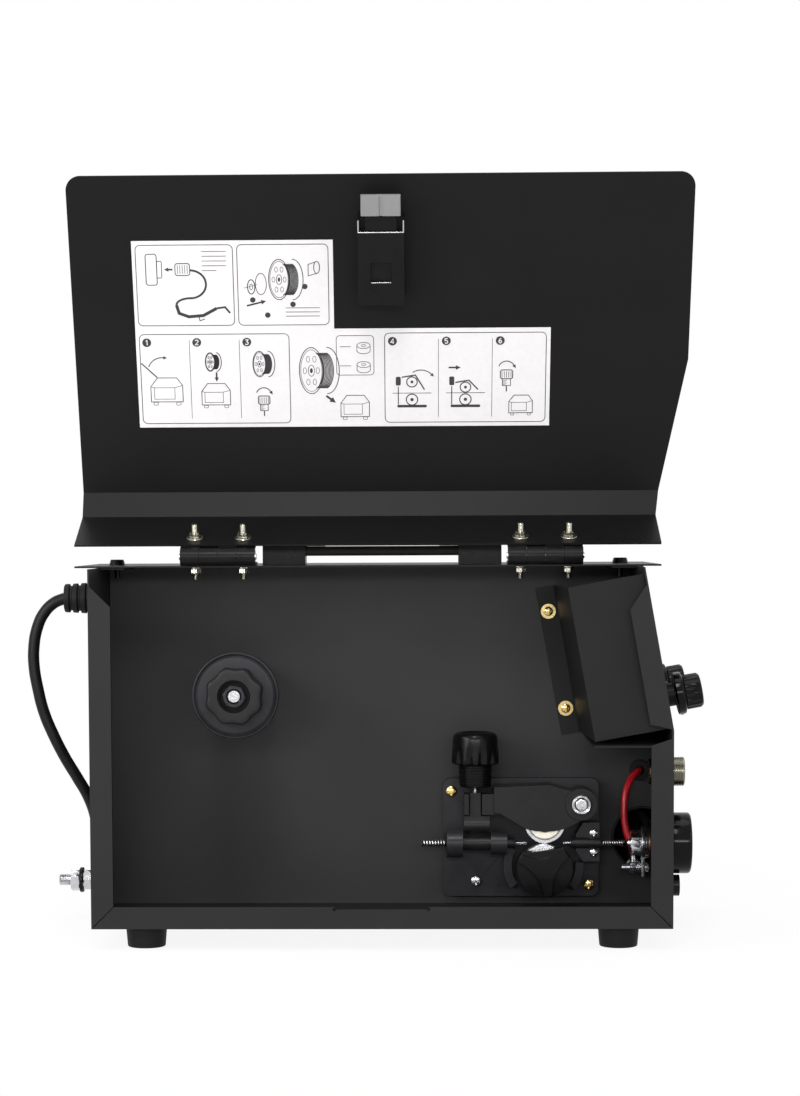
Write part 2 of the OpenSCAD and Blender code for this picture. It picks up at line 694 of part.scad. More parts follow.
module torch_insulators() color([0.06, 0.06, 0.06]) place() {
    turned_x(0, socket_y, wire_z) polygon([
        [11.1, hw - sheet + 0.1], [15.9, hw - sheet + 0.1], [15.9, hw], [25.2, hw], [25.8, hw + 0.6],
        [25.8, hw + 22.6], [24.3, hw + 24], [20, hw + 24], [20, hw + 11], [17.6, hw + 11],
        [17.6, hw + 5], [11.1, hw + 5]
    ]);
    difference() {
        union() {
            rod_x(hw - 10.5, hw - sheet, 19, socket_y, wire_z);
            rod_y(socket_y + 15, socket_y + 28, 3, hw - 7, wire_z + 0.5);
        }
        rod_x(hw - 11, hw, 11.1, socket_y, wire_z);
        rod_y(socket_y + 10, socket_y + 29, 1.5, hw - 7, wire_z + 0.5);
    }
}

// The socket's brass core and the copper tab clamped behind it
module torch_core() color([0.75, 0.6, 0.35]) place() {
    turned_x(0, socket_y, wire_z) polygon([
        [2, hw - 31], [4, hw - 31], [4, hw - 17.5], [8, hw - 17.5], [8, hw - 10.5],
        [11, hw - 10.5], [11, hw + 5], [17.5, hw + 5], [17.5, hw + 18.5], [17, hw + 19],
        [5, hw + 19], [5, hw - 10], [2, hw - 10]
    ]);
    side_plate(hw - 17.5, hw - 14.5) difference() {
        union() {
            translate([socket_y, wire_z]) circle(14.3);
            translate([socket_y - 8, wire_z - 28]) square([16, 28]);
        }
        translate([socket_y, wire_z]) circle(8.05);
        translate([socket_y, wire_z - 21]) circle(3.1);
    }
}

module torch_fasteners() color([0.76, 0.76, 0.78]) place() {
    turned_x(0, socket_y, wire_z) polygon([
        [8.05, hw - 14.5], [14.3, hw - 14.5], [14.3, hw - 10.5], [8.05, hw - 10.5]
    ]);
    difference() {
        hex_x(hw - 26.4, hw - 17.5, 16, socket_y, wire_z);
        rod_x(hw - 28, hw - 16, 4.05, socket_y, wire_z);
    }
    rod_x(hw - 34, hw - 14.4, 3, socket_y, wire_z - 21);
    hex_x(hw - 14.5, hw - 10.7, 10, socket_y, wire_z - 21);
    difference() {
        rod_x(hw - 20.7, hw - 19.2, 6, socket_y, wire_z - 21);
        rod_x(hw - 22, hw - 18, 3.05, socket_y, wire_z - 21);
    }
    difference() {
        hex_x(hw - 26.7, hw - 21.7, 10, socket_y, wire_z - 21);
        rod_x(hw - 28, hw - 18, 3.05, socket_y, wire_z - 21);
    }
}

module blanking_plug() color([0.06, 0.06, 0.06]) place() {
    rod_x(hw, hw + 3, 10.1, socket_y, plug_z);
    rod_x(hw + 2.9, hw + 15, 9, socket_y, plug_z);
    rod_x(hw - 3, hw + 0.1, 7.9, socket_y, plug_z);
    turned_x(hw - 6, socket_y, plug_z) polygon([[0, 0], [7, 0], [8.6, 3.6], [8.6, 4.5], [0, 4.5]]);
}

// ---- Rear connections ----

module power_stud() color([0.74, 0.62, 0.36]) place() {
    rod_x(stud_tip, stud_tip + 10, 5, stud_y, stud_z);
    rod_x(stud_tip + 9.9, -215, 4.5, stud_y, stud_z);
    for (x = [-271.7, -260.9]) difference() {
        hex_x(x, x + 7.7, 17, stud_y, stud_z);
        rod_x(x - 1, x + 9, 4.55, stud_y, stud_z);
    }
    difference() {
        rod_x(-253.2, -250.6, 10, stud_y, stud_z);
        rod_x(-254, -250, 4.55, stud_y, stud_z);
    }
    difference() {
        hex_x(-227, -222.5, 17, stud_y, stud_z);
        rod_x(-228, -222, 4.55, stud_y, stud_z);
    }
}

module stud_insulators() color([0.06, 0.06, 0.06]) place() {
    turned_x(0, stud_y, stud_z) polygon([[4.6, -264], [10.9, -264], [10.9, -261], [4.6, -261]]);
    turned_x(0, stud_y, stud_z) polygon([
        [4.6, -250.6], [14, -250.6], [15.2, -hw], [9, -hw], [9, -hw + sheet - 0.1],
        [4.6, -hw + sheet - 0.1]
    ]);
    turned_x(0, stud_y, stud_z) polygon([
        [4.6, -hw + sheet], [14, -hw + sheet], [14, -227], [4.6, -227]
    ]);
}

module power_leads() color([0.08, 0.08, 0.08]) place() {
    difference() {
        rod_x(-222, -206.05, 8, stud_y, stud_z);
        rod_x(-223, -214, 5.05, stud_y, stud_z);
    }
    swept_tube(power_route, 5);
    difference() {
        union() {
            rod_y(129, 133.95, 5.6, 212, wire_z - 21);
            block(hw - 19.2, hw - 17.7, 105, 131, wire_z - 28, wire_z - 14);
        }
        rod_x(hw - 22, hw - 16, 3.1, socket_y, wire_z - 21);
    }
    color([0.75, 0.08, 0.07]) swept_tube(red_route, 3);
    difference() {
        union() {
            rod_z(wire_z - 18, 45.95, 3, 212, 123);
            block(hw - 21.7, hw - 20.7, 107, 125, wire_z - 26, wire_z - 16);
        }
        rod_x(hw - 24, hw - 18, 3.1, socket_y, wire_z - 21);
    }
}

module grommets() color([0.07, 0.07, 0.07]) place() {
    turned_y(0, grommet_x, grommet_z) polygon([
        [3.6, divider_y - 2], [9, divider_y - 2], [9, divider_y], [6.9, divider_y],
        [6.9, divider_y + sheet], [9, divider_y + sheet], [9, divider_y + 3.5], [3.6, divider_y + 3.5]
    ]);
    front_plate(divider_y - 1.5, divider_y + 3) intersection() {
        difference() {
            translate([notch_x, notch_z]) circle(notch_r - 0.1);
            translate([notch_x, notch_z]) circle(notch_r - 2);
        }
        translate([notch_x - 30, notch_z - 30]) square([hw - sheet - 0.6 - notch_x + 30, 60]);
    }
}

module gas_valve() color([0.72, 0.6, 0.34]) place() {
    rod_x(-253, -229, 5, gas_y, gas_z);
    for (x = [-250, -246]) rod_x(x, x + 2.5, 5.8, gas_y, gas_z);
    difference() {
        hex_x(-240, -hw, 14, gas_y, gas_z);
        rod_x(-241, -hw + 1, 5, gas_y, gas_z);
    }
    block(-229, -199, gas_y - 15, gas_y + 15, gas_z - 15, gas_z + 15);
    rod_z(gas_z + 15, gas_z + 45, 13, -214, gas_y);
    rod_x(-199.1, -184.05, 4.2, gas_y, gas_z);
    color([0.1, 0.1, 0.1]) swept_tube(hose_route, 4);
}

// ---- Control cable ----

module cable_gland() color([0.06, 0.06, 0.06]) place() {
    turned_x(0, stud_y, gland_z) polygon([
        [0, gland_end], [11.4, gland_end], [12.2, gland_end + 0.8], [12.4, gland_end + 4.4],
        [10.6, gland_end + 5.2], [10.6, gland_end + 6.8], [12.5, gland_end + 7.6],
        [12.8, gland_end + 11.4], [11, gland_end + 12.2], [11, gland_end + 13.8],
        [12.9, gland_end + 14.6], [13.2, gland_end + 18.6], [11.6, gland_end + 19.4],
        [11.6, gland_end + 21.4], [13, gland_end + 22.4],
        [13, -hw], [8.9, -hw], [8.9, -hw + 10], [0, -hw + 10]
    ]);
    difference() {
        hex_x(-hw + sheet, -hw + sheet + 5, 22, stud_y, gland_z);
        rod_x(-hw, -hw + 8, 8.95, stud_y, gland_z);
    }
}

module control_cable() color([0.05, 0.05, 0.05]) place() {
    swept_tube(cable_route, cable_r);
    swept_tube(tail_route, cable_r);
}

module cable_coil() color([0.05, 0.05, 0.05]) place() difference() {
    translate([coil_at[0], coil_at[1], -foot_h]) rotate_extrude()
        rounded_rect(
            coil_mean_r - 2 * cable_r, coil_mean_r + 2 * cable_r, 0, 2 * cable_r * coil_layers, 4
        );
    block(-232, -218, 290, 365, -foot_h - 1, -foot_h + 2 * cable_r + 1);
}

module cable_plug() color([0.1, 0.1, 0.1]) place()
    translate(tail_route[len(tail_route) - 1]) rotate([0, 0, cable_plug_deg]) rotate([0, 90, 0])
        rotate_extrude() polygon([
            [0, 0], [6.5, 0], [7.5, 8], [7.5, 12], [9, 13], [9, 33], [8, 34], [8, 42], [6.5, 42],
            [6.5, 36], [0, 36]
        ]);

// ---- Wire drive ----

module feed_base_plate() color([0.16, 0.16, 0.17]) place() difference() {
    union() {
        front_plate(plate_front, divider_y) rounded_rect(51, 183.5, 9, 110, 7);
        rod_x(54, 67.5, 12.1, wire_y, wire_z);
        block(54, 67.5, wire_y, plate_front + 1, wire_z - 9, wire_z + 9);
        rod_x(91, 104.8, 9.7, wire_y, wire_z);
        block(91, 104.8, wire_y, plate_front + 1, wire_z - 6.5, wire_z + 6.5);
        block(75.2, 80.8, wire_y, plate_front + 1, lever_z - 4.2, lever_z + 4.2);
        rod_x(75.2, 80.8, 4.2, wire_y, lever_z);
        rod_y(127.4, plate_front + 1, 11, arm_pivot[0], arm_pivot[1]);
        front_plate(120, plate_front + 1) for (span = [[151, 215], [-38, 5]]) intersection() {
            translate([drive_x, drive_z]) difference() {
                circle(34);
                circle(27);
            }
            translate([drive_x, drive_z]) polygon([
                [0, 0],
                for (a = [span[0], (span[0] + span[1]) / 2, span[1]]) [60 * cos(a), 60 * sin(a)]
            ]);
        }
        front_plate(wire_y + 2, plate_front + 1) polygon([
            [163, 50], [169, 41], [183, 41], [183, 74], [169, 74], [163, 64]
        ]);
    }
    rod_x(50, 150, 6.05, wire_y, wire_z);
    rod_x(149, 200, 4.55, wire_y, wire_z);
    rod_x(70, 86, 2.05, wire_y, lever_z);
    rod_y(120, 140.2, 5.05, arm_pivot[0], arm_pivot[1]);
    rod_y(120, divider_y + 1, 7.05, drive_x, drive_z);
    for (at = concat(plate_screw_at, [steel_screw_at]))
        rod_y(plate_front - 1, divider_y + 1, 2.6, at[0], at[1]);
    for (z = [-8.3, 8.3]) rod_y(wire_y + 1, wire_y + 16.3, 2, 178, wire_z + z);
}

module feed_motor() color([0.25, 0.25, 0.27]) place() {
    rod_y(divider_y + 36, divider_y + 118, 29, drive_x, drive_z);
    rod_y(divider_y + 117.9, divider_y + 122, 24, drive_x, drive_z);
    for (x = [drive_x - 11, drive_x + 11])
        block(x - 3, x + 3, divider_y + 108, divider_y + 112, drive_z + 25, drive_z + 33);
}

module feed_gearbox() color([0.6, 0.6, 0.62]) place() difference() {
    union() {
        rod_y(divider_y + sheet, divider_y + 36, 31, drive_x, drive_z);
        rod_y(divider_y, divider_y + sheet + 0.1, 13, drive_x, drive_z);
    }
    rod_y(divider_y - 1, divider_y + 8.5, 7.05, drive_x, drive_z);
}

module drive_shaft() color([0.75, 0.75, 0.77]) place() {
    rod_y(wire_y - 5.2, divider_y + 8, 7, drive_x, drive_z);
    rod_y(wire_y - 18.5, wire_y - 5.1, 4.95, drive_x, drive_z);
}

module drive_roller() color([0.7, 0.7, 0.72]) place()
    turned_y(0, drive_x, drive_z) polygon([
        [7.03, wire_y - 5], [drive_r - 1, wire_y - 5], [drive_r, wire_y - 4],
        [drive_r, wire_y - 3.2], [drive_r - 0.9, wire_y - 2.5], [drive_r, wire_y - 1.8],
        [drive_r, wire_y + 1.8], [drive_r - 0.9, wire_y + 2.5], [drive_r, wire_y + 3.2],
        [drive_r, wire_y + 4], [drive_r - 1, wire_y + 5], [7.03, wire_y + 5]
    ]);

module drive_roller_cap() color([0.07, 0.07, 0.07]) place() difference() {
    translate([drive_x, wire_y - 5.4, drive_z]) rotate([90, 0, 0]) {
        linear_extrude(cap_base_t) difference() {
            circle(cap_r);
            rotate(cap_flat_deg) translate([cap_flat, -cap_r]) square([cap_r, 2 * cap_r]);
        }
        translate([0, 0, cap_base_t - 0.1]) linear_extrude(18.7 - cap_base_t) difference() {
            circle(cap_r - 1);
            for (a = [0:120:240]) rotate(cap_flat_deg + a) translate([44.9, 0]) circle(35.1);
        }
    }
    rod_y(wire_y - 18.7, wire_y - 5, 5, drive_x, drive_z);
}

module pressure_arm() color([0.1, 0.1, 0.1]) place() difference() {
    union() {
        front_plate(99, 127) {
            polygon([
                [93.5, wire_z + 48.3], [139, wire_z + 50.3], [157.5, wire_z + 45.6],
                [arm_pivot[0], arm_pivot[1] + 8], [arm_pivot[0] + 9.3, arm_pivot[1] - 9.2],
                [153.4, wire_z + 13.3], [145, wire_z + 11.4], [136.5, wire_z + 10.8],
                [128, wire_z + 11.4], [119.6, wire_z + 13.3], [98.7, wire_z + 26.3],
                [93.5, wire_z + 26.3]
            ]);
        }
        rod_y(96.3, 127, 13.5, arm_pivot[0], arm_pivot[1]);
        block(68.5, 94, 103, 121, wire_z + 24.6, wire_z + 42.2);
    }
    block(72.5, 83.5, 102, 117.5, wire_z + 20, wire_z + 50);
    rod_y(106, 118, press_r + 1.1, press_x, press_z);
    rod_y(101, 128, 3.05, press_x, press_z);
    rod_y(95, 128, 5.05, arm_pivot[0], arm_pivot[1]);
}

module arm_pivot_screw() color([0.78, 0.78, 0.8]) place() difference() {
    union() {
        rod_y(96, 140, 5, arm_pivot[0], arm_pivot[1]);
        rod_y(92.5, 96.1, 8.3, arm_pivot[0], arm_pivot[1]);
    }
    block(arm_pivot[0] - 9, arm_pivot[0] + 9, 92, 93.7, arm_pivot[1] - 0.8, arm_pivot[1] + 0.8);
}

module roller_pin() color([0.76, 0.76, 0.78]) place() rod_y(101.3, 126.5, 3, press_x, press_z);

module pressure_roller() color([0.72, 0.72, 0.74]) place()
    turned_y(0, press_x, press_z) polygon([
        [3.06, wire_y - 5], [8, wire_y - 5], [8, wire_y - 4.4], [press_r - 3, wire_y - 4.4],
        [press_r - 2.6, wire_y - 5], [press_r - 0.6, wire_y - 5], [press_r, wire_y - 4.4],
        [press_r, wire_y + 4.4], [press_r - 0.6, wire_y + 5], [3.06, wire_y + 5]
    ]);

module wire_guides() color([0.72, 0.6, 0.33]) place() {
    turned_x(0, wire_y, wire_z) polygon([
        [1, 54], [6, 54], [6, 104.8], [4.2, 104.8], [4.2, 110], [3, 111.6], [1.7, 111.6],
        [1.7, 121], [1, 121]
    ]);
    turned_x(0, wire_y, wire_z) polygon([
        [1, 152], [1.7, 152], [1.7, 157.5], [3, 157.5], [4, 159], [4, 163], [4.5, 163],
        [4.5, 184], [1, 184]
    ]);
}

module wire_liners() color([0.85, 0.85, 0.83]) place() {
    turned_x(0, wire_y, wire_z) polygon([[1.5, 29.5], [2.7, 29.5], [2.7, 54], [1.5, 54]]);
    turned_x(0, wire_y, wire_z) polygon([[1, 184], [1.75, 184], [1.75, 203.6], [1, 203.6]]);
}

// ---- Roller pressure: a lever with a sprung, adjustable knob ----

module tension_lever() color([0.1, 0.1, 0.1]) place() difference() {
    union() {
        rod_x(68.5, 90, 6.4, wire_y, lever_z);
        block(68.5, 90, wire_y - 5, wire_y + 5, lever_z + 4, lever_z + 8);
        block(73.5, 82.5, wire_y - 4.5, wire_y + 4.5, lever_z + 6, lever_z + 27.6);
    }
    block(74.7, 81.3, wire_y - 4.7, wire_y + 7, lever_z - 7, lever_z + 4.7);
    rod_x(68, 91, 2.05, wire_y, lever_z);
    rod_z(lever_z + 21, lever_z + 28, 2.55, lever_x, wire_y);
}

module tension_rod() color([0.74, 0.74, 0.76]) place() {
    rod_z(lever_z + 21.2, knob_z + 23, 2.5, lever_x, wire_y);
    rod_x(68.5, 90, 2, wire_y, lever_z);
    difference() {
        rod_z(barrel_z + 2.8, knob_z + 15.2, 8.2, lever_x, wire_y);
        rod_z(barrel_z + 2, knob_z + 16, 5.6, lever_x, wire_y);
        for (z = [0:4:24]) translate([lever_x, wire_y, barrel_z + 5.6 + z]) rotate_extrude()
            translate([7, 0]) square([2, 1.6]);
    }
}

module tension_barrel() color([0.09, 0.09, 0.09]) place()
    translate([lever_x, wire_y, 0]) rotate_extrude() polygon([
        [2.6, barrel_z], [12.8, barrel_z], [14, barrel_z + 1.2], [14, barrel_z + 6.4],
        [13.4, barrel_z + 7], [13.4, barrel_z + 8.2], [14, barrel_z + 8.8], [14, barrel_z + 19.3],
        [9, barrel_z + 19.3], [9, barrel_z + 2.5], [2.6, barrel_z + 2.5]
    ]);

module tension_knob() color([0.08, 0.08, 0.08]) place() translate([lever_x, wire_y, knob_z]) difference() {
    union() {
        cylinder(r1 = 15, r2 = 17.5, h = 2.5);
        translate([0, 0, 2.4]) linear_extrude(22) waved_outline(19, 1, 14);
        translate([0, 0, 24.3]) cylinder(r1 = 18, r2 = 15.5, h = 3.4);
    }
    translate([0, 0, -1]) cylinder(r = 9, h = 17);
    translate([0, 0, 15]) cylinder(r = 2.6, h = 9);
    translate([0, 0, 26]) cylinder(r = 11, h = 3);
}

// ---- Spool hub ----

module spool_spindle() color([0.7, 0.7, 0.72]) place() {
    difference() {
        union() {
            rod_y(hub_front, divider_y, 8, hub_x, hub_z);
            rod_y(divider_y - 4, divider_y, 20, hub_x, hub_z);
        }
        rod_y(hub_front - 1, divider_y + 1, spindle_r + 0.05, hub_x, hub_z);
    }
    rod_y(16, divider_y + 12, spindle_r, hub_x, hub_z);
    difference() {
        translate([hub_x, divider_y + sheet, hub_z]) rotate([-90, 0, 0]) union() {
            cylinder(r = 11, h = 1.5);
            translate([0, 0, 1.4]) cylinder(r = 17 / sqrt(3), h = 6.6, $fn = 6);
        }
        rod_y(divider_y, divider_y + 14, spindle_r + 0.05, hub_x, hub_z);
    }
}

module spool_hub() color([0.13, 0.13, 0.14]) place()
    turned_y(0, hub_x, hub_z) polygon([
        [8.05, hub_front], [hub_r - 1, hub_front], [hub_r, hub_front + 1], [hub_r, 132],
        [hub_r + 1.6, 132], [hub_r + 1.6, 138], [21.5, 138], [21.5, hub_front + 7],
        [13, hub_front + 7], [13, 136], [8.05, 136]
    ]);

module retaining_disc() color([0.1, 0.1, 0.1]) place()
    turned_y(0, hub_x, hub_z) polygon([
        [5.9, disc_front], [34, disc_front], [35.5, disc_front + 1.5], [35.5, disc_front + 3.6],
        [34.5, disc_front + 4.6], [5.9, disc_front + 4.6]
    ]);

module retaining_nut() color([0.08, 0.08, 0.08]) place() difference() {
    front_plate(12, disc_front - 0.2) translate([hub_x, hub_z]) waved_outline(23, 1, 8, 20);
    rod_y(11, 19, 12.8, hub_x, hub_z);
    rod_y(11, 40, spindle_r + 0.05, hub_x, hub_z);
}

base_panel();
rear_panel();
front_panel();
divider();
fixed_cover();
cover_screws();
rubber_feet();
foot_screws();
handle_end_caps();
handle_strap();
hinge_fixed_leaves();
hinge_lid_leaves();
hinge_pins();
hinge_fixed_bolts();
hinge_lid_bolts();
lid_panel();
instruction_label();
latch_body();
latch_bolt();
control_shield();
brass_screws();
control_board();
potentiometers();
voltage_knob();
current_knob();
remote_socket();
torch_insulators();
torch_core();
torch_fasteners();
blanking_plug();
power_stud();
stud_insulators();
power_leads();
grommets();
gas_valve();
cable_gland();
control_cable();
cable_coil();
cable_plug();
feed_base_plate();
steel_screws();
feed_motor();
feed_gearbox();
drive_shaft();
drive_roller();
drive_roller_cap();
pressure_arm();
arm_pivot_screw();
roller_pin();
pressure_roller();
wire_guides();
wire_liners();
tension_lever();
tension_rod();
tension_barrel();
tension_knob();
spool_spindle();
spool_hub();
retaining_disc();
retaining_nut();
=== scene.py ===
# A portable wire feeder for MIG/MAG welding with its lid swung open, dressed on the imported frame.
import math

import bmesh
import bpy
from mathutils import Matrix, Vector


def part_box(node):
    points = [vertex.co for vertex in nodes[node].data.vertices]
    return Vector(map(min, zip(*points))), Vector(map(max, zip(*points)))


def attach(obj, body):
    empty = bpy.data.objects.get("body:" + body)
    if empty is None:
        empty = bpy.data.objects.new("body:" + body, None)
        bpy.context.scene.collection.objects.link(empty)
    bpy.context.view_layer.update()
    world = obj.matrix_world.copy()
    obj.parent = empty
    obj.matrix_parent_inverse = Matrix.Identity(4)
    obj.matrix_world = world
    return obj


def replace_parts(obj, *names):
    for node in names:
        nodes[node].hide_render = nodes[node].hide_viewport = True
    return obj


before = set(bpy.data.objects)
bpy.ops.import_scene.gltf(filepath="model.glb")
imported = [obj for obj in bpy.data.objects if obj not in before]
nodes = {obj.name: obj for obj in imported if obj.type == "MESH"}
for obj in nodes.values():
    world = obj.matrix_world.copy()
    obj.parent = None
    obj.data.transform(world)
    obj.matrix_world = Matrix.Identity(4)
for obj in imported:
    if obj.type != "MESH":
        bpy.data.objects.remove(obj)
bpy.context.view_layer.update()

MM = 0.001

# The case's own axes: x from the middle of the case, y from its open side, z from its underside
case_lo, case_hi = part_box("base_panel")
ORIGIN = Vector(((case_lo.x + case_hi.x) / 2, case_lo.y, case_lo.z))

# Main places in those axes, in millimetres
HALF_W = 235
SHEET = 1.5
KINK_Z = 160
SLANT = math.atan(23.5 / 131)
DIVIDER_Y = 144
PLATE_FRONT = 134
PLATE_TOP = 292.5
HINGE_Y, HINGE_Z = 68, 300
LID_ANGLE = math.radians(158.4)
LID_INNER_Y = -16.5
WIRE_Y, WIRE_Z = 112, 57
PRESS_X, PRESS_Z = 136.5, 74.65
PIVOT_X, PIVOT_Z = 166.7, 91
LEVER_X = 78
BARREL_Z = 104.7
KNOB_Z = 124.3
HUB_X, HUB_Z = -119, 187.5
DISC_FRONT = 31.2
REMOTE_Z = 117.5
STUD_Y, STUD_Z = 165, 19.5
LATCH_X, LATCH_Z = 1, 44

ALONG_X, ALONG_Y, ALONG_Z = Vector((1, 0, 0)), Vector((0, 1, 0)), Vector((0, 0, 1))

# The closed lid's place swung up to where it rests open, and the slanted half of the front panel
LID_OPEN = (
    Matrix.Translation((0, HINGE_Y, HINGE_Z)) @ Matrix.Rotation(-LID_ANGLE, 4, "X")
    @ Matrix.Translation((0, -HINGE_Y, -HINGE_Z))
)
ON_SLANT = Matrix.Translation((HALF_W, 0, KINK_Z)) @ Matrix.Rotation(-SLANT, 4, "Y")


def place(x, y, z):
    """A point in the case's own axes, in millimetres, as a point in the frame."""
    return ORIGIN + Vector((x, y, z)) * MM


# ---------------------------------------------------------------- camera

def aim_camera():
    """The camera stands level with the case's upper half, 2.2 m off, and looks slightly down and left."""
    yaw, pitch, roll = math.radians(-1.524), math.radians(4.337), math.radians(-0.258)
    forward = Vector((math.sin(yaw) * math.cos(pitch), math.cos(yaw) * math.cos(pitch), -math.sin(pitch)))
    right = Vector((math.cos(yaw), -math.sin(yaw), 0))
    up = right.cross(forward)
    turned_right = right * math.cos(roll) + up * math.sin(roll)
    turned_up = up * math.cos(roll) - right * math.sin(roll)
    data = bpy.data.cameras.new("camera")
    data.sensor_fit = "VERTICAL"
    data.sensor_height = 24
    data.lens = 59.775
    data.shift_x = 0.0469
    data.shift_y = 0.1736
    data.clip_end = 50
    camera = bpy.data.objects.new("camera", data)
    bpy.context.scene.collection.objects.link(camera)
    axes = Matrix((turned_right, turned_up, -forward)).transposed().to_4x4()
    camera.matrix_world = Matrix.Translation(place(32.3, -2185.8, 320.5)) @ axes
    bpy.context.scene.camera = camera


# ---------------------------------------------------------------- materials

def new_material(name):
    material = bpy.data.materials.new(name)
    material.use_nodes = True
    tree = material.node_tree
    shader = tree.nodes["Principled BSDF"]
    return material, tree, shader


def node(tree, kind, **values):
    """A shader node with its properties set, and its inputs where the name is an input's."""
    made = tree.nodes.new(kind)
    for key, value in values.items():
        if key in made.inputs:
            made.inputs[key].default_value = value
        else:
            setattr(made, key, value)
    return made


def ramp(tree, source, stops):
    """A colour ramp over a source socket; stops are (position, value or colour)."""
    made = tree.nodes.new("ShaderNodeValToRGB")
    elements = made.color_ramp.elements
    while len(elements) < len(stops):
        elements.new(0.5)
    for element, (position, colour) in zip(elements, stops):
        element.position = position
        level = (colour, colour, colour) if isinstance(colour, (int, float)) else colour
        element.color = (*level, 1)
    tree.links.new(source, made.inputs["Fac"])
    return made.outputs["Color"]


def noise(tree, scale, detail=3.0, roughness=0.5, stretch=(1, 1, 1)):
    """Noise over the object's own coordinates; scale is cycles per metre."""
    where = tree.nodes.new("ShaderNodeTexCoord")
    mapping = node(tree, "ShaderNodeMapping")
    mapping.inputs["Scale"].default_value = stretch
    tree.links.new(where.outputs["Object"], mapping.inputs["Vector"])
    made = node(tree, "ShaderNodeTexNoise", Scale=scale, Detail=detail, Roughness=roughness)
    tree.links.new(mapping.outputs["Vector"], made.inputs["Vector"])
    return made.outputs["Fac"]


def bump(tree, shader, height, strength, distance):
    made = node(tree, "ShaderNodeBump", Strength=strength, Distance=distance)
    tree.links.new(height, made.inputs["Height"])
    tree.links.new(made.outputs["Normal"], shader.inputs["Normal"])


def shade(rgb, factor):
    return tuple(channel * factor for channel in rgb)


def powder_coat(name, rgb, rough, gloss=0.5):
    """Fine-textured powder coat: small soft bumps, slight cloudiness and uneven gloss."""
    material, tree, shader = new_material(name)
    clouds = noise(tree, 14, 4)
    tree.links.new(ramp(tree, clouds, [(0.3, shade(rgb, 0.93)), (0.7, shade(rgb, 1.07))]),
        shader.inputs["Base Color"])
    grain = noise(tree, 1500, 2)
    tree.links.new(ramp(tree, grain, [(0.3, rough - 0.05), (0.7, rough + 0.05)]), shader.inputs["Roughness"])
    bump(tree, shader, grain, 0.12, 0.0002)
    shader.inputs["Specular IOR Level"].default_value = gloss
    return material


def moulded(name, rgb, rough, grain_scale=2600, grain=0.08, gloss=0.4):
    """Moulded plastic or rubber with a fine grain and a little dust-like unevenness."""
    material, tree, shader = new_material(name)
    patches = noise(tree, 60, 5, 0.6)
    tree.links.new(ramp(tree, patches, [(0.3, shade(rgb, 0.85)), (0.75, shade(rgb, 1.2))]),
        shader.inputs["Base Color"])
    fine = noise(tree, grain_scale, 2)
    tree.links.new(ramp(tree, patches, [(0.3, rough - 0.06), (0.7, rough + 0.06)]),
        shader.inputs["Roughness"])
    bump(tree, shader, fine, grain, 0.0002)
    shader.inputs["Specular IOR Level"].default_value = gloss
    return material


def metal(name, rgb, rough, brushed=(1, 1, 1), marks=0.12):
    """Plated or machined metal with fine marks along one direction and patchy tarnish."""
    material, tree, shader = new_material(name)
    shader.inputs["Metallic"].default_value = 1.0
    patches = noise(tree, 180, 4, 0.6)
    tree.links.new(ramp(tree, patches, [(0.25, shade(rgb, 0.8)), (0.7, rgb)]), shader.inputs["Base Color"])
    fine = noise(tree, 900, 3, 0.6, brushed)
    tree.links.new(ramp(tree, fine, [(0.3, max(rough - 0.1, 0.05)), (0.7, rough + 0.12)]),
        shader.inputs["Roughness"])
    bump(tree, shader, fine, marks, 0.0001)
    return material


def paper(name, rgb):
    """Printed film: nearly flat, slightly mottled, with a low sheen."""
    material, tree, shader = new_material(name)
    mottle = noise(tree, 220, 3)
    tree.links.new(ramp(tree, mottle, [(0.3, shade(rgb, 0.96)), (0.7, rgb)]), shader.inputs["Base Color"])
    tree.links.new(ramp(tree, mottle, [(0.3, 0.42), (0.7, 0.52)]), shader.inputs["Roughness"])
    bump(tree, shader, noise(tree, 900, 2), 0.04, 0.0001)
    return material


CASE_PAINT = powder_coat("case_paint", (0.0135, 0.0135, 0.014), 0.5, 0.12)
# The divider's paint is the case's black made lighter: painted light standing in for the fuller light on the
# divider.
LIT_DIVIDER_PAINT = powder_coat("divider_paint_painted_light", (0.024, 0.024, 0.024), 0.55, 0.12)
SHIELD_PAINT = powder_coat("shield_paint", (0.0115, 0.0115, 0.0115), 0.5, 0.08)
LID_PAINT = powder_coat("lid_paint", (0.0065, 0.0065, 0.0066), 0.4, 0.1)
BLACK_STEEL = metal("black_steel", (0.016, 0.016, 0.018), 0.36)
BLACK_PLASTIC = moulded("black_plastic", (0.0035, 0.0035, 0.0038), 0.24, gloss=0.14)
GLOSS_BLACK = moulded("gloss_black", (0.0018, 0.0018, 0.002), 0.12, grain=0.02, gloss=0.13)
SOFT_PLASTIC = moulded("soft_plastic", (0.0095, 0.0095, 0.01), 0.36, gloss=0.16)
PLATE_PLASTIC = moulded("plate_plastic", (0.016, 0.016, 0.0188), 0.32, gloss=0.16)
LATCH_BLACK = moulded("latch_black", (0.006, 0.006, 0.0062), 0.3, gloss=0.1)
# Near-black that stands in for the shade inside hollows and gaps: painted shade.
SHADE_BLACK = moulded("painted_shade_black", (0.002, 0.002, 0.002), 0.4, gloss=0.1)
RUBBER = moulded("rubber", (0.008, 0.008, 0.008), 0.55, 1400, 0.15, 0.12)
STRAP = moulded("strap_rubber", (0.02, 0.018, 0.016), 0.5, 1400, 0.15, 0.15)
CABLE = moulded("cable", (0.006, 0.006, 0.006), 0.38, 900, 0.1, 0.15)
RED_LEAD = moulded("red_lead", (0.36, 0.006, 0.012), 0.3, 900, 0.06)
GREY_PLASTIC = moulded("grey_plastic", (0.12, 0.12, 0.125), 0.5, gloss=0.3)
LATCH_GREY = powder_coat("latch_grey", (0.18, 0.18, 0.18), 0.42, 0.3)
ZINC = metal("zinc", (0.62, 0.62, 0.64), 0.2, marks=0.03)
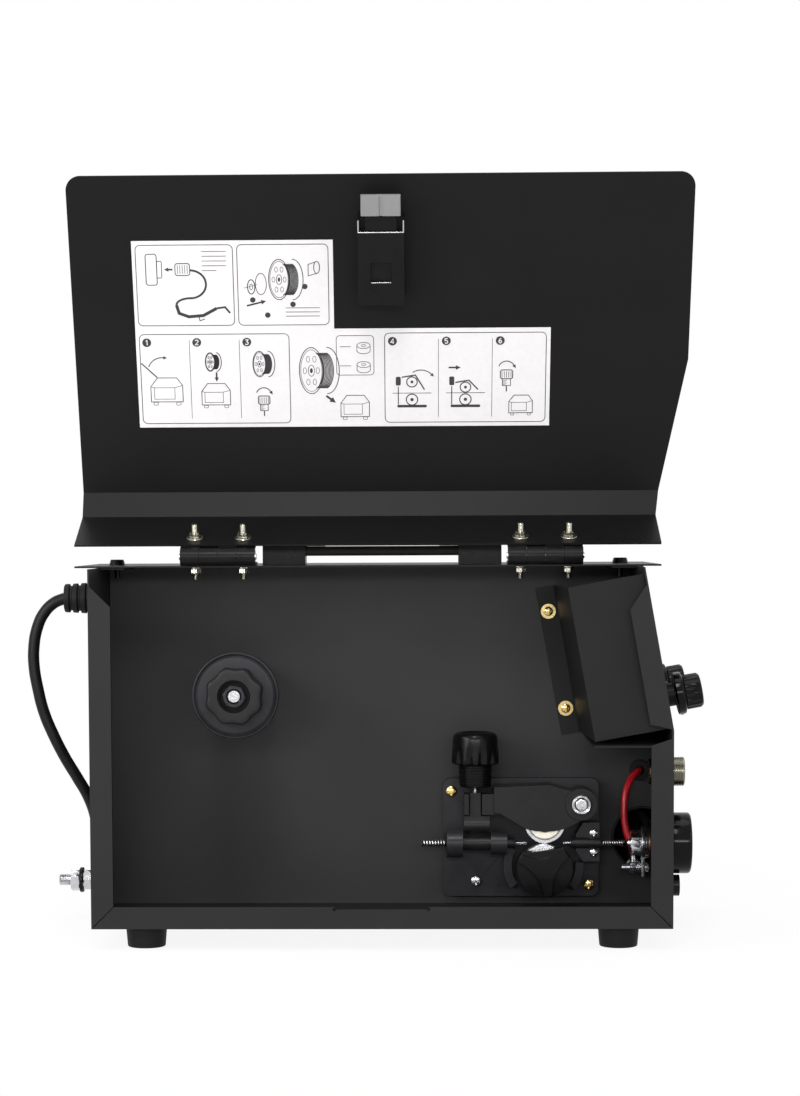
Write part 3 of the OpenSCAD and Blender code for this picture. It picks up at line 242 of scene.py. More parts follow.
NICKEL = metal("nickel", (0.23, 0.22, 0.175), 0.26, marks=0.04)
STEEL = metal("steel", (0.6, 0.6, 0.62), 0.26, (1, 12, 1), 0.05)
CREAM_STEEL = metal("cream_steel", (0.78, 0.74, 0.64), 0.34, marks=0.05)
BOLT_ZINC = metal("bolt_zinc", (0.52, 0.5, 0.42), 0.22, marks=0.05)
BRASS = metal("brass", (0.7, 0.54, 0.24), 0.22, marks=0.04)
COPPER = metal("copper", (0.72, 0.36, 0.22), 0.3, marks=0.04)
CAST = metal("cast_alloy", (0.5, 0.5, 0.52), 0.5, (1, 1, 1), 0.2)
BOARD = moulded("board", (0.02, 0.12, 0.06), 0.35)
LABEL = paper("label_film", (0.6, 0.585, 0.592))
INK = paper("label_ink", (0.018, 0.018, 0.02))

# Each CAD node that stays in view, with the width in millimetres of its eased edges
NODE_LOOKS = {
    CASE_PAINT: {"base_panel": 0.4, "rear_panel": 0.4, "front_panel": 0.4},
    LIT_DIVIDER_PAINT: {"divider": 0.4},
    SHIELD_PAINT: {"control_shield": 0.4},
    LID_PAINT: {"fixed_cover": 0.4, "lid_panel": 0.4},
    BLACK_STEEL: {"cover_screws": 0.4, "feed_motor": 0.8},
    LATCH_BLACK: {"hinge_fixed_leaves": 0, "hinge_lid_leaves": 0, "latch_body": 0.6},
    ZINC: {"foot_screws": 0.3, "hinge_pins": 0.4},
    STEEL: {"drive_shaft": 0.4, "drive_roller": 0.2, "roller_pin": 0.4},
    CAST: {"feed_gearbox": 0.8},
    BLACK_PLASTIC: {
        "handle_end_caps": 1.0, "blanking_plug": 0.7, "stud_insulators": 0.5, "drive_roller_cap": 1.1,
        "cable_plug": 0.6,
    },
    SOFT_PLASTIC: {"pressure_arm": 1.3, "tension_lever": 0.8, "spool_hub": 0.8},
    PLATE_PLASTIC: {"feed_base_plate": 0.9},
    RUBBER: {"rubber_feet": 1.2, "grommets": 0.5, "cable_gland": 0.5},
    STRAP: {"handle_strap": 2.4},
    BOARD: {"control_board": 0.2},
    LABEL: {"instruction_label": 0.05},
}


def dress_nodes():
    """Gives every CAD node its material, with soft edges where it has sharp ones."""
    for material, widths in NODE_LOOKS.items():
        for name, width in widths.items():
            cad = nodes[name]
            cad.data.materials.clear()
            cad.data.materials.append(material)
            if width:
                ease_edges(cad, width, weld=True)


# ---------------------------------------------------------------- making meshes

def to_mesh(name, build, swing=None):
    """A mesh that build(made) draws in millimetres in the case's axes, moved into the frame."""
    made = bmesh.new()
    build(made)
    bmesh.ops.remove_doubles(made, verts=made.verts, dist=0.0005)
    bmesh.ops.recalc_face_normals(made, faces=made.faces)
    if swing:
        bmesh.ops.transform(made, matrix=swing, verts=made.verts)
    into_frame = Matrix.Translation(ORIGIN) @ Matrix.Scale(MM, 4)
    bmesh.ops.transform(made, matrix=into_frame, verts=made.verts)
    mesh = bpy.data.meshes.new(name)
    made.to_mesh(mesh)
    made.free()
    return mesh


def add_piece(name, build, body, material, swing=None, rounded=0.0, sharp=35, replaces=None):
    """A piece that rides on a body and may stand in for a CAD node; rounded is its eased edges' width."""
    mesh = to_mesh(name, build, swing)
    mesh.materials.append(material)
    mesh.shade_smooth()
    mesh.set_sharp_from_angle(angle=math.radians(sharp))
    shown = bpy.data.objects.new(name, mesh)
    bpy.context.scene.collection.objects.link(shown)
    if rounded:
        ease_edges(shown, rounded)
    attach(shown, body)
    if replaces:
        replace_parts(shown, replaces)
    return shown


def ease_edges(shown, width, angle=38, weld=False):
    """Rounds the sharp edges of a piece or a CAD node; width is in millimetres."""
    if weld:
        shown.modifiers.new("weld", "WELD").merge_threshold = 0.01 * MM
        flat = shown.modifiers.new("flat_faces", "DECIMATE")
        flat.decimate_type = "DISSOLVE"
        flat.angle_limit = math.radians(0.4)
    bevel = shown.modifiers.new("eased_edges", "BEVEL")
    bevel.width = width * MM
    bevel.segments = 2
    bevel.limit_method = "ANGLE"
    bevel.angle_limit = math.radians(angle)
    bevel.use_clamp_overlap = True
    shown.modifiers.new("even_shading", "WEIGHTED_NORMAL")


def across(axis):
    """The axis as a unit vector and two directions square to it and to each other."""
    axis = Vector(axis).normalized()
    first = axis.cross(ALONG_Z if abs(axis.z) < 0.9 else ALONG_Y).normalized()
    return axis, first, axis.cross(first)


def ring(made, base, axis, height, radius, steps):
    """Points round an axis; radius is a number, or a function of the angle."""
    axis, u, v = across(axis)
    points = []
    for k in range(steps):
        a = 2 * math.pi * k / steps
        r = radius(a) if callable(radius) else radius
        points.append(made.verts.new(Vector(base) + axis * height + r * (math.cos(a) * u + math.sin(a) * v)))
    return points


def skin(made, rings, closed=False):
    """Faces between rings of points, with the first and last ring capped unless closed."""
    pairs = list(zip(rings, rings[1:] + rings[:1] if closed else rings[1:]))
    for low, high in pairs:
        count = len(low)
        for k in range(count):
            after = (k + 1) % count
            made.faces.new((low[k], low[after], high[after], high[k]))
    if not closed:
        made.faces.new(rings[0])
        made.faces.new(rings[-1])


def revolve(made, profile, base, axis, steps=48):
    """Turns (radius, height) pairs about an axis; an outline that ends where it began is hollow."""
    closed = profile[0] == profile[-1]
    rings = [
        ring(made, base, axis, h, max(r, 0.01), steps) for r, h in (profile[:-1] if closed else profile)
    ]
    skin(made, rings, closed)


def waved(mean, swell, count, turn=0.0):
    """A radius that swells count times round the circle."""
    return lambda a: mean + swell * math.cos(count * (a - math.radians(turn)))


def prism(made, outline, base, u, v, depth):
    """An outline of (a, b) pairs along u and v from base, made solid along depth."""
    base, u, v, depth = Vector(base), Vector(u), Vector(v), Vector(depth)
    low = [made.verts.new(base + a * u + b * v) for a, b in outline]
    high = [made.verts.new(base + depth + a * u + b * v) for a, b in outline]
    skin(made, [low, high])


def block(made, x0, x1, y0, y1, z0, z1):
    prism(made, [(x0, y0), (x1, y0), (x1, y1), (x0, y1)], (0, 0, z0), ALONG_X, ALONG_Y, (0, 0, z1 - z0))


def thread(made, base, axis, radius, length, pitch, depth=0.5, steps=24):
    """A rod with a screw thread and chamfered ends."""
    axis, u, v = across(axis)
    rows = max(int(length / pitch * 6), 6)
    rings = []
    for row in range(rows + 1):
        height = length * row / rows
        shy = min(height, length - height)
        points = []
        for k in range(steps):
            a = 2 * math.pi * k / steps
            turn = (height / pitch - k / steps) % 1
            r = min(radius - depth * pitch * abs(2 * turn - 1), radius - depth * pitch + shy)
            out = math.cos(a) * u + math.sin(a) * v
            points.append(made.verts.new(Vector(base) + axis * height + r * out))
        rings.append(points)
    skin(made, rings)


def hex_nut(made, base, axis, flats, height, bore, turn=0.0):
    """A hexagon nut with its corners chamfered on both faces and a chamfered bore."""
    steps = 48
    corner = flats / math.sqrt(3)
    chamfer = 0.45 * (corner - flats / 2)

    def hexagon(a):
        within = (a - math.radians(turn) + math.pi / 6) % (math.pi / 3) - math.pi / 6
        return flats / 2 / math.cos(within)

    def clipped(a):
        return min(hexagon(a), flats / 2 * 1.01)

    outside = [(clipped, 0), (hexagon, chamfer), (hexagon, height - chamfer), (clipped, height)]
    inside = [(bore + 0.4, height), (bore, height - 0.4), (bore, 0.4), (bore + 0.4, 0)]
    skin(made, [ring(made, base, axis, h, r, steps) for r, h in outside + inside], True)


def washer(made, base, axis, outer, bore, height):
    edge = min(0.25, height / 3)
    revolve(made, [
        (bore, 0), (outer - edge, 0), (outer, edge), (outer, height - edge), (outer - edge, height),
        (bore, height), (bore, 0),
    ], base, axis)


def coil(made, base, axis, radius, wire, length, pitch, around=8, per_turn=18):
    """A close-wound wire tube: one wire swept along a helix."""
    axis, u, v = across(axis)
    steps = int(length / pitch * per_turn)
    rings = []
    for step in range(steps + 1):
        a = 2 * math.pi * step / per_turn
        out = math.cos(a) * u + math.sin(a) * v
        centre = Vector(base) + axis * (length * step / steps) + radius * out
        rings.append([
            made.verts.new(centre + wire * (math.cos(b) * out + math.sin(b) * axis))
            for b in (2 * math.pi * k / around for k in range(around))
        ])
    skin(made, rings)


def crossed(made, base, axis, profile, reach, depth, steps=64):
    """A turned head, bright side along axis, with the cross of a driver's recess pressed in."""
    axis, u, v = across(axis)
    rings = []
    for r, h in profile:
        points = []
        for k in range(steps):
            a = 2 * math.pi * k / steps
            p, q = r * math.cos(a), r * math.sin(a)
            arm = min(abs(p), abs(q)) < 0.2 * reach and max(abs(p), abs(q)) < reach and h > depth
            points.append(made.verts.new(
                Vector(base) + axis * (h - (depth if arm else 0)) + p * u + q * v
            ))
        rings.append(points)
    skin(made, rings)


def pan_screws(name, heads, body, material, swing=None, shank=8.0, washers=0.0):
    """Cross-head screws facing the open side: heads are (x, y, z, radius) of each seat's centre."""
    toward = -ALONG_Y

    def build(made):
        for x, y, z, r in heads:
            lift = 0.9 if washers else 0
            base = Vector((x, y, z)) + toward * lift
            profile = [(0.55 * r, -shank), (0.55 * r, 0), (0.97 * r, 0), (r, 0.15 * r), (0.93 * r, 0.36 * r)]
            profile += [(r * share, r * (0.62 - 0.3 * share ** 2.5)) for share in
                        (0.85, 0.75, 0.66, 0.6, 0.57, 0.5, 0.42, 0.34, 0.27, 0.2, 0.14, 0.08, 0.002)]
            crossed(made, base, toward, profile, 0.68 * r, 0.4 * r)
            if washers:
                washer(made, (x, y, z), toward, washers, 0.56 * r, 0.8)

    return add_piece(name, build, body, material, swing, sharp=25)


def tube(name, points, radius, body, material, resolution=6):
    """A round tube along points in the case's axes, as one smooth open spline."""
    curve = bpy.data.curves.new(name, "CURVE")
    curve.dimensions = "3D"
    curve.bevel_depth = radius * MM
    curve.bevel_resolution = 4
    curve.resolution_u = resolution
    curve.use_fill_caps = True
    spline = curve.splines.new("BEZIER")
    spline.bezier_points.add(len(points) - 1)
    for knot, point in zip(spline.bezier_points, points):
        knot.co = place(*point)
        knot.handle_left_type = "AUTO"
        knot.handle_right_type = "AUTO"
    piece = bpy.data.objects.new(name, curve)
    bpy.context.scene.collection.objects.link(piece)
    curve.materials.append(material)
    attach(piece, body)
    return piece


# ---------------------------------------------------------------- screws and bolts

def make_screws():
    shield = [
        ON_SLANT @ Vector((-76.4, DIVIDER_Y - SHEET, z)) - Vector((HALF_W, 0, KINK_Z)) for z in (23, 107)
    ]
    seats = [Vector((HALF_W, 0, KINK_Z)) + seat for seat in shield]
    shield_heads = [(seat.x, DIVIDER_Y - SHEET, seat.z, 4.0) for seat in seats]
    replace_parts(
        pan_screws("shield_screws", shield_heads, "case", BRASS, shank=7.5, washers=6.6),
        "brass_screws"
    )
    plate_heads = [(58, PLATE_FRONT, 99, 4.8), (175, PLATE_FRONT, 19, 4.8)]
    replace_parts(pan_screws("plate_screws", plate_heads, "case", BRASS, shank=12), "brass_screws")
    bright = [
        (79, PLATE_FRONT, 22, 4.6),
        (178, WIRE_Y + 2, WIRE_Z - 8.3, 3.7), (178, WIRE_Y + 2, WIRE_Z + 8.3, 3.7),
    ]
    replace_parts(pan_screws("bright_screws", bright, "case", ZINC, shank=10), "steel_screws")


def make_hinge_bolts():
    """Button-head bolts through the leaves, with a washer and a nut on the inner side."""
    for name, y, head_z, under, tip, flange, body, swing in (
        ("hinge_fixed_bolts", HINGE_Y + 20, PLATE_TOP + 3, PLATE_TOP - SHEET, PLATE_TOP - 11.5, 5.5,
            "case", None),
        ("hinge_lid_bolts", HINGE_Y - 20, PLATE_TOP + 3.3, PLATE_TOP - 1.2, PLATE_TOP - 13.5, 7.2, "lid",
            LID_OPEN),
    ):
        def bolts(made):
            for x in (-155, -115, 115, 155):
                thread(made, (x, y, tip), ALONG_Z, 2.5, head_z - tip, 0.9, 0.45)
                revolve(made, [
                    (4.6, head_z), (4.6, head_z + 0.8), (4.2, head_z + 2), (3.2, head_z + 2.8),
                    (1.9, head_z + 3),
                    (1.8, head_z + 1.4), (0, head_z + 1.4),
                ], (x, y, 0), ALONG_Z, 32)
                washer(made, (x, y, under - 1), ALONG_Z, flange, 2.5, 1)
                hex_nut(made, (x, y, under - 5), ALONG_Z, 8, 3.9, 2.4, 15)

        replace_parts(add_piece(name + "_turned", bolts, body, BOLT_ZINC, swing), name)


# ---------------------------------------------------------------- wire drive

def make_pressure_arm_parts():
    front = PIVOT_X, 96.1, PIVOT_Z
    toward = -ALONG_Y

    def pivot(made):
        profile = [
            (4.9, -43), (4.9, 0), (5.0, 0), (5.0, 3.2), (4.8, 3.9), (4.5, 4.1), (4.2, 4.2), (3.8, 4.2),
            (3.4, 4.2), (3.1, 4.2), (2.9, 4.2), (2.5, 4.2), (2.1, 4.2), (1.7, 4.2), (1.3, 4.2), (0.9, 4.2),
            (0.5, 4.2), (0.01, 4.2),
        ]
        crossed(made, front, toward, profile, 3.4, 2.4)
        revolve(made, [
            (5.9, 0), (8.3, 0), (8.3, 2.5), (7.9, 3.1), (7.3, 3.3), (6.9, 3.2), (6.7, 2.8), (6.7, 0.2),
            (5.9, 0),
        ], front, toward, 64)

    add_piece("arm_pivot_bolt", pivot, "case", ZINC, sharp=25, replaces="arm_pivot_screw")

    def band(made):
        revolve(made, [
            (14.6, -5.0), (16.9, -5.0), (17.5, -4.4), (17.5, 4.4), (16.9, 5.0), (14.6, 5.0), (14.6, -5.0),
        ], (PRESS_X, WIRE_Y, PRESS_Z), ALONG_Y, 96)

    def hub(made):
        revolve(made, [
            (3.06, -5.0), (7.6, -5.0), (8.0, -4.6), (8.4, -4.1), (13.4, -4.1), (13.9, -4.6), (14.1, -4.6),
            (14.1, 4.6), (3.06, 4.6), (3.06, -5.0),
        ], (PRESS_X, WIRE_Y, PRESS_Z), ALONG_Y, 96)

    add_piece("pressure_roller_band", band, "pressure_roller", STEEL, replaces="pressure_roller")
    add_piece(
        "pressure_roller_hub", hub, "pressure_roller", CREAM_STEEL, replaces="pressure_roller",
    )


def make_tension_knob():
    base = (LEVER_X, WIRE_Y, KNOB_Z)

    def fluted(lower, cut):
        def radius(a):
            wave = 0.5 - 0.5 * math.cos(12 * a)
            return lower - cut * wave ** 2.2
        return radius

    def knob(made):
        rows = [
            (0.0, 18.9, 2.6), (0.7, 19.7, 2.7), (1.6, 19.9, 2.5), (5, 19.75, 1.9), (9, 19.55, 1.2),
            (12, 19.4, 0.6), (14, 19.3, 0.2), (15.5, 19.2, 0), (21, 18.95, 0), (23.6, 18.5, 0),
            (25.2, 17.5, 0), (26.3, 15.9, 0), (26.8, 14.2, 0), (26.9, 12.6, 0), (26.4, 12.0, 0),
            (25.9, 11.6, 0), (25.8, 4.0, 0), (26.1, 3.2, 0), (26.1, 2.7, 0), (9.5, 2.7, 0), (9.5, 9, 0),
            (0.0, 9, 0),
        ]
        rings = [ring(made, base, ALONG_Z, h, fluted(r, cut), 144) for h, r, cut in rows]
        skin(made, rings, True)

    add_piece(
        "tension_knob_grip", knob, "tension_knob", BLACK_PLASTIC, replaces="tension_knob",
    )

    def barrel(made):
        profile = [(2.7, 0), (11.6, 0), (13.2, 0.5), (13.6, 1.4)]
        for k in range(7):
            h = 2.6 + 2.4 * k
            r = 13.7 + 0.1 * k
            profile += [(r, h - 0.5), (r - 0.75, h - 0.15), (r - 0.75, h + 0.45), (r, h + 0.8)]
        profile += [(14.4, 18.4), (14.0, 19.2), (9, 19.2), (9, 2.6), (2.7, 2.6), (2.7, 0)]
        revolve(made, profile, (LEVER_X, WIRE_Y, BARREL_Z), ALONG_Z, 96)

    add_piece(
        "tension_scale_barrel", barrel, "tension_lever", BLACK_PLASTIC,
        replaces="tension_barrel",
    )

    def rod(made):
        thread(made, (LEVER_X, WIRE_Y, WIRE_Z + 36.6), ALONG_Z, 2.5, KNOB_Z + 22.9 - WIRE_Z - 36.6, 0.9)
        revolve(made, [(2, -10.7), (2, 10.7)], (79.25, WIRE_Y, WIRE_Z + 15.4), ALONG_X, 24)
        revolve(made, [
            (5.6, BARREL_Z + 2.8), (8.2, BARREL_Z + 2.8), (8.2, KNOB_Z + 8.4), (5.6, KNOB_Z + 8.4),
            (5.6, BARREL_Z + 2.8),
        ], (LEVER_X, WIRE_Y, 0), ALONG_Z, 32)

    add_piece("tension_screw", rod, "tension_lever", ZINC, replaces="tension_rod")


def make_guides():
    """Black bushes in the two brackets, with the bright nozzles and the coiled liners they hold."""
    at = (0, WIRE_Y, WIRE_Z)

    def bushes(made):
        revolve(made, [
            (2.9, 53.4), (8.2, 53.4), (8.8, 54), (8.8, 55.5), (6, 55.5), (6, 104.8), (4.2, 104.8),
            (4.2, 110.4),
            (3.9, 111.2), (1.8, 111.6), (1.8, 106), (2.9, 106), (2.9, 53.4),
        ], at, ALONG_X, 48)
        revolve(made, [
            (1.9, 158.4), (3.6, 158.4), (4, 159), (4, 163), (4.5, 163), (4.5, 183.6), (4.1, 184),
            (1.9, 184), (1.9, 158.4),
        ], at, ALONG_X, 48)

    def nozzles(made):
        thread(made, (108, WIRE_Y, WIRE_Z), ALONG_X, 1.75, 13, 1.4, 0.35)
        thread(made, (152, WIRE_Y, WIRE_Z), ALONG_X, 1.75, 12, 1.4, 0.35)

    def springs(made):
        coil(made, (32.5, WIRE_Y, WIRE_Z), ALONG_X, 2.6, 0.8, 23.5, 2.4)
        coil(made, (184.1, WIRE_Y, WIRE_Z), ALONG_X, 2.2, 0.62, 19.4, 1.95)

    # Near-black cores inside the two coils that darken the gaps between the turns: painted shade.
    def shade_cores(made):
        revolve(made, [(0.9, 33), (1.5, 33), (1.5, 56), (0.9, 56), (0.9, 33)], at, ALONG_X, 24)
        revolve(made, [(0.7, 184.2), (1.0, 184.2), (1.0, 203.4), (0.7, 203.4), (0.7, 184.2)], at, ALONG_X,
            24)

    add_piece("guide_bushes", bushes, "case", SOFT_PLASTIC, replaces="wire_guides")
    add_piece("guide_nozzles", nozzles, "case", ZINC, replaces="wire_guides")
    add_piece("liner_springs", springs, "case", ZINC, sharp=60, replaces="wire_liners")
    add_piece("liner_shade_cores", shade_cores, "case", SHADE_BLACK, replaces="wire_liners")


# ---------------------------------------------------------------- spool hub

def make_hub():
    toward = -ALONG_Y
    disc_back = (HUB_X, DISC_FRONT + 4.6, HUB_Z)

    def disc(made):
        revolve(made, [
            (6, 0), (34.6, 0), (35.4, 0.8), (35.8, 2.2), (35.5, 3.9), (34.9, 4.7), (34.0, 4.9), (33.3, 4.5),
            (32.9, 3.7), (32.2, 3.4), (31.4, 3.9), (30.8, 4.5), (29.9, 4.6), (6, 4.6), (6, 0),
        ], disc_back, toward, 128)

    add_piece(
        "retaining_disc_face", disc, "retainer", PLATE_PLASTIC, replaces="retaining_disc",
    )

    def nut(made):
        rows = [
            (0.0, 22.4), (0.5, 22.9), (1.2, 23.0), (15.5, 22.8), (17.4, 22.4), (18.4, 21.7), (18.9, 20.6),
            (19.0, 19.0), (19.0, 13.7), (18.7, 13.3), (17.6, 13.0), (13.2, 12.9),
        ]
        base = (HUB_X, DISC_FRONT - 0.2, HUB_Z)
        rings = []
        for h, r in rows:
            swell = 1.0 if r > 17.5 else 0.0
            rings.append(ring(made, base, toward, h, waved(r, swell, 8, 20), 144))
        rings += [
            ring(made, base, toward, h, r, 144)
            for h, r in [(9.9, 12.2), (9.7, 10.6), (9.5, 10.2), (9.5, 5.9), (0.0, 5.9)]
        ]
        skin(made, rings, True)

    add_piece(
        "retaining_nut_grip", nut, "retaining_nut", SOFT_PLASTIC, replaces="retaining_nut",
    )

    def insert(made):
        hex_nut(made, (HUB_X, DISC_FRONT - 9.7, HUB_Z), toward, 17, 7.0, 6.0, 20)

    # A near-black lining of the nut's hollow: painted shade where the hollow is in shadow.
    def seat(made):
        revolve(made, [
            (6.2, 9.6), (12.8, 9.6), (12.8, 10.1), (12.6, 17.2), (12.0, 17.2), (11.8, 10.3), (6.2, 10.3),
            (6.2, 9.6),
        ], (HUB_X, DISC_FRONT - 0.2, HUB_Z), toward, 64)

    add_piece("retaining_nut_insert", insert, "retaining_nut", PLATE_PLASTIC)
    add_piece("retaining_nut_shade_lining", seat, "retaining_nut", SHADE_BLACK)

    def tip(made):
        thread(made, (HUB_X, 31, HUB_Z), toward, 5.5, 15, 1.5)

    def post(made):
        revolve(made, [
            (5.55, 36), (7.6, 36), (8, 36.4), (8, 140), (20, 140), (20, 144), (5.55, 144), (5.55, 36),
        ], (HUB_X, 0, HUB_Z), ALONG_Y, 48)
        revolve(made, [(5.5, 31), (5.5, 156)], (HUB_X, 0, HUB_Z), ALONG_Y, 32)
        hex_nut(made, (HUB_X, 147, HUB_Z), ALONG_Y, 17, 6.6, 5.5)
        washer(made, (HUB_X, 145.5, HUB_Z), ALONG_Y, 11, 5.55, 1.5)

    add_piece("spindle_thread", tip, "case", ZINC, replaces="spool_spindle")
    add_piece("spindle_post", post, "case", STEEL, replaces="spool_spindle")


# ---------------------------------------------------------------- control knobs

def on_panel(y):
    """The place of a control on the slanted half of the front panel, with z out of the panel."""
    return ON_SLANT @ Matrix.Translation((0, y, 25.4)) @ Matrix.Rotation(math.pi / 2, 4, "Y")


def make_control_knobs():
    for name, y in (("voltage_knob", 48), ("current_knob", 190)):
        def knob(made):
            def ribs(height_share):
                def radius(a):
                    crest = max(0.0, math.cos(18 * a))
                    return 13.6 + 0.7 * crest ** 0.6 * height_share
                return radius
            rows = [
                (10.0, 16.6, None), (10.4, 17.2, None), (14.6, 17.3, None), (15.4, 17.2, None),
                (16.2, 16.6, None),
                (16.9, 14.6, None), (17.6, 13.9, None), (17.9, 0, 1.0), (28.8, 0, 0.85), (29.8, 13.5, None),
                (30.7, 12.9, None), (31.1, 12.0, None), (31.1, 11.0, None), (30.7, 10.5, None),
                (30.6, 0.01, None),
            ]
            rings = [ring(made, (0, 0, z), ALONG_Z, 0, 3, 144) for z in (-12, 9.99)]
            for h, r, share in rows:
                rings.append(ring(made, (0, 0, h), ALONG_Z, 0, r if share is None else ribs(share), 144))
            skin(made, rings)

        grip = add_piece(name + "_grip", knob, name, GLOSS_BLACK, on_panel(y))
        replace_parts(grip, name)

        def dot(made):
            revolve(made, [(0.01, 0), (1.5, 0), (1.5, 0.5), (1.1, 0.8), (0.01, 0.9)], (17.1, 0, 13.2),
                (1, 0, 0), 20)
            prism(made, [(-0.5, 0), (0.5, 0), (0.5, 9), (-0.5, 9)], (-12, 0, 30.7), ALONG_Y, ALONG_X,
                (0, 0, 0.35))

        add_piece(name + "_pointer", dot, name, ZINC, on_panel(y))

        def collar(made):
            revolve(made, [
                (8.4, 0.1), (12.8, 0.1), (12.8, 1.8), (12.4, 2.2), (8.4, 2.2), (8.4, 0.1),
            ], (0, 0, 0), ALONG_Z, 48)
            hex_nut(made, (0, 0, 0.1), ALONG_Z, 14, 3, 4.6)
            thread(made, (0, 0, -1.8), ALONG_Z, 4.5, 9, 0.75)
            revolve(made, [(3.1, -14), (11, -14), (11, -1.7), (3.1, -1.7), (3.1, -14)], (0, 0, 0),
                ALONG_Z, 48)

        # A near-black ring in the narrow gap under the knob: painted shade.
        def gap_shade_ring(made):
            revolve(made, [
                (8.4, 2.25), (9.4, 2.25), (9.4, 8.8), (9, 9.2), (8.4, 9.2), (8.4, 2.25),
            ], (0, 0, 0), ALONG_Z, 48)

        add_piece(
            name + "_gap_shade_ring", gap_shade_ring, "case", SHADE_BLACK, on_panel(y),
            replaces="potentiometers",
        )
        add_piece(
            name + "_bushing", collar, "case", GREY_PLASTIC, on_panel(y),
            replaces="potentiometers",
        )


# ---------------------------------------------------------------- front connectors

def make_torch_socket():
    at = (HALF_W, WIRE_Y, WIRE_Z)

    def collar(made):
        rows = [
            (0, 24.6), (0.4, 25.4), (1.2, 25.8), (21.6, 25.8), (22.6, 25.5), (23.5, 24.7), (23.9, 23.9),
            (23.9, 20.6),
            (23.3, 20), (11, 20), (11, 17.6), (5, 17.6), (5, 11.1), (0, 11.1), (0, 24.6),
        ]
        revolve(made, [(r, h) for h, r in rows], at, ALONG_X, 128)

    def inner(made):
        revolve(made, [
            (11.1, -10.5), (18.6, -10.5), (19, -10.1), (19, -2), (18.6, -1.6), (15.9, -1.6), (15.9, -0.05),
            (11.1, -0.05), (11.1, -10.5),
        ], at, ALONG_X, 64)
        revolve(made, [(1.5, 15), (3, 15), (3, 28), (1.5, 28), (1.5, 15)],
            (HALF_W - 7, WIRE_Y, WIRE_Z + 0.5), ALONG_Y, 24)

    def core(made):
        revolve(made, [
            (2, -29), (2.9, -29), (3.4, -28.4), (3.9, -26), (3.9, -17.5), (8, -17.5), (8, -10.6),
            (11, -10.6), (11, 5.1), (17.5, 5.1), (17.5, 18.3), (17, 19), (16.2, 19), (15.8, 18.6),
            (9.2, 18.6), (8.8, 19), (5, 19), (5, -10), (2, -10), (2, -29),
        ], at, ALONG_X, 64)

    def lug(made):
        prism(made, [
            (-8, -28), (8, -28), (8, -11), (11, -8.5), (13.4, -5), (14.3, 0), (13.4, 5), (10.1, 10.1),
            (5, 13.4), (0, 14.3),
            (-5, 13.4), (-10.1, 10.1), (-13.4, 5), (-14.3, 0), (-13.4, -5), (-11, -8.5), (-8, -11),
        ], (HALF_W - 17.4, WIRE_Y, WIRE_Z), ALONG_Y, ALONG_Z, (2.8, 0, 0))

    def bright(made):
        washer(made, (HALF_W - 14.5, WIRE_Y, WIRE_Z), ALONG_X, 13.6, 8.05, 1.9)
        washer(made, (HALF_W - 12.5, WIRE_Y, WIRE_Z), ALONG_X, 12.2, 8.05, 0.7)
        hex_nut(made, (HALF_W - 26.4, WIRE_Y, WIRE_Z), ALONG_X, 19, 8.8, 3.95, 0)
        low = Vector((0, WIRE_Y, WIRE_Z - 21))
        thread(made, low + ALONG_X * (HALF_W - 34), ALONG_X, 3, 19, 1)
        hex_nut(made, low + ALONG_X * (HALF_W - 14.5), ALONG_X, 10, 3.8, 2.9)
        washer(made, low + ALONG_X * (HALF_W - 20.6), ALONG_X, 6, 3.05, 1.3)
        hex_nut(made, low + ALONG_X * (HALF_W - 26.7), ALONG_X, 10, 4.9, 2.9, 20)

    add_piece("torch_collar", collar, "case", GLOSS_BLACK, replaces="torch_insulators")
    add_piece("torch_bush", inner, "case", BLACK_PLASTIC, replaces="torch_insulators")
    add_piece("torch_contact", core, "case", ZINC, replaces="torch_core")
    def crush_ring(made):
        washer(made, (HALF_W - 11.7, WIRE_Y, WIRE_Z), ALONG_X, 12.6, 8.05, 1.1)

    add_piece("torch_tag", lug, "case", ZINC, rounded=0.3, replaces="torch_core")
    add_piece("torch_copper_ring", crush_ring, "case", COPPER, replaces="torch_fasteners")
    add_piece("torch_nuts", bright, "case", ZINC, replaces="torch_fasteners")


def make_remote_socket():
    at = (HALF_W, WIRE_Y, REMOTE_Z)

    def shell(made):
        profile = [(10.9, -11), (10.9, -0.1), (13.4, -0.1), (13.5, 0.2), (13.5, 2.6), (13.1, 3), (12.2, 3)]
        for k in range(10):
            h = 3.9 + 1.35 * k
            profile += [(12.2, h), (11.75, h + 0.35), (11.75, h + 0.6), (12.2, h + 0.95)]
        profile += [(12.2, 17.8), (11.6, 18.6), (10.3, 18.6), (10, 18.2), (10, 6.6), (0, 6.6)]
        revolve(made, profile, at, ALONG_X, 96)
        hex_nut(made, (HALF_W - 5.5, WIRE_Y, REMOTE_Z), ALONG_X, 27, 4, 10.95)

    def face(made):
        revolve(made, [(0, 6.4), (9.9, 6.4), (9.9, 7.6), (9.4, 8), (0, 8)], at, ALONG_X, 64)

    def pins(made):
        for k in range(5):
            a = math.radians(90 + 72 * k)
            base = (HALF_W + 7, WIRE_Y + 5.6 * math.cos(a), REMOTE_Z + 5.6 * math.sin(a))
            revolve(made, [(1.2, 0), (1.2, 5.2), (0.8, 5.9), (0, 6)], base, ALONG_X, 20)

    add_piece("remote_shell", shell, "case", NICKEL, replaces="remote_socket")
    add_piece("remote_insert", face, "case", BLACK_PLASTIC, replaces="remote_socket")
    add_piece("remote_pins", pins, "case", BRASS, replaces="remote_socket")


# ---------------------------------------------------------------- rear connectors

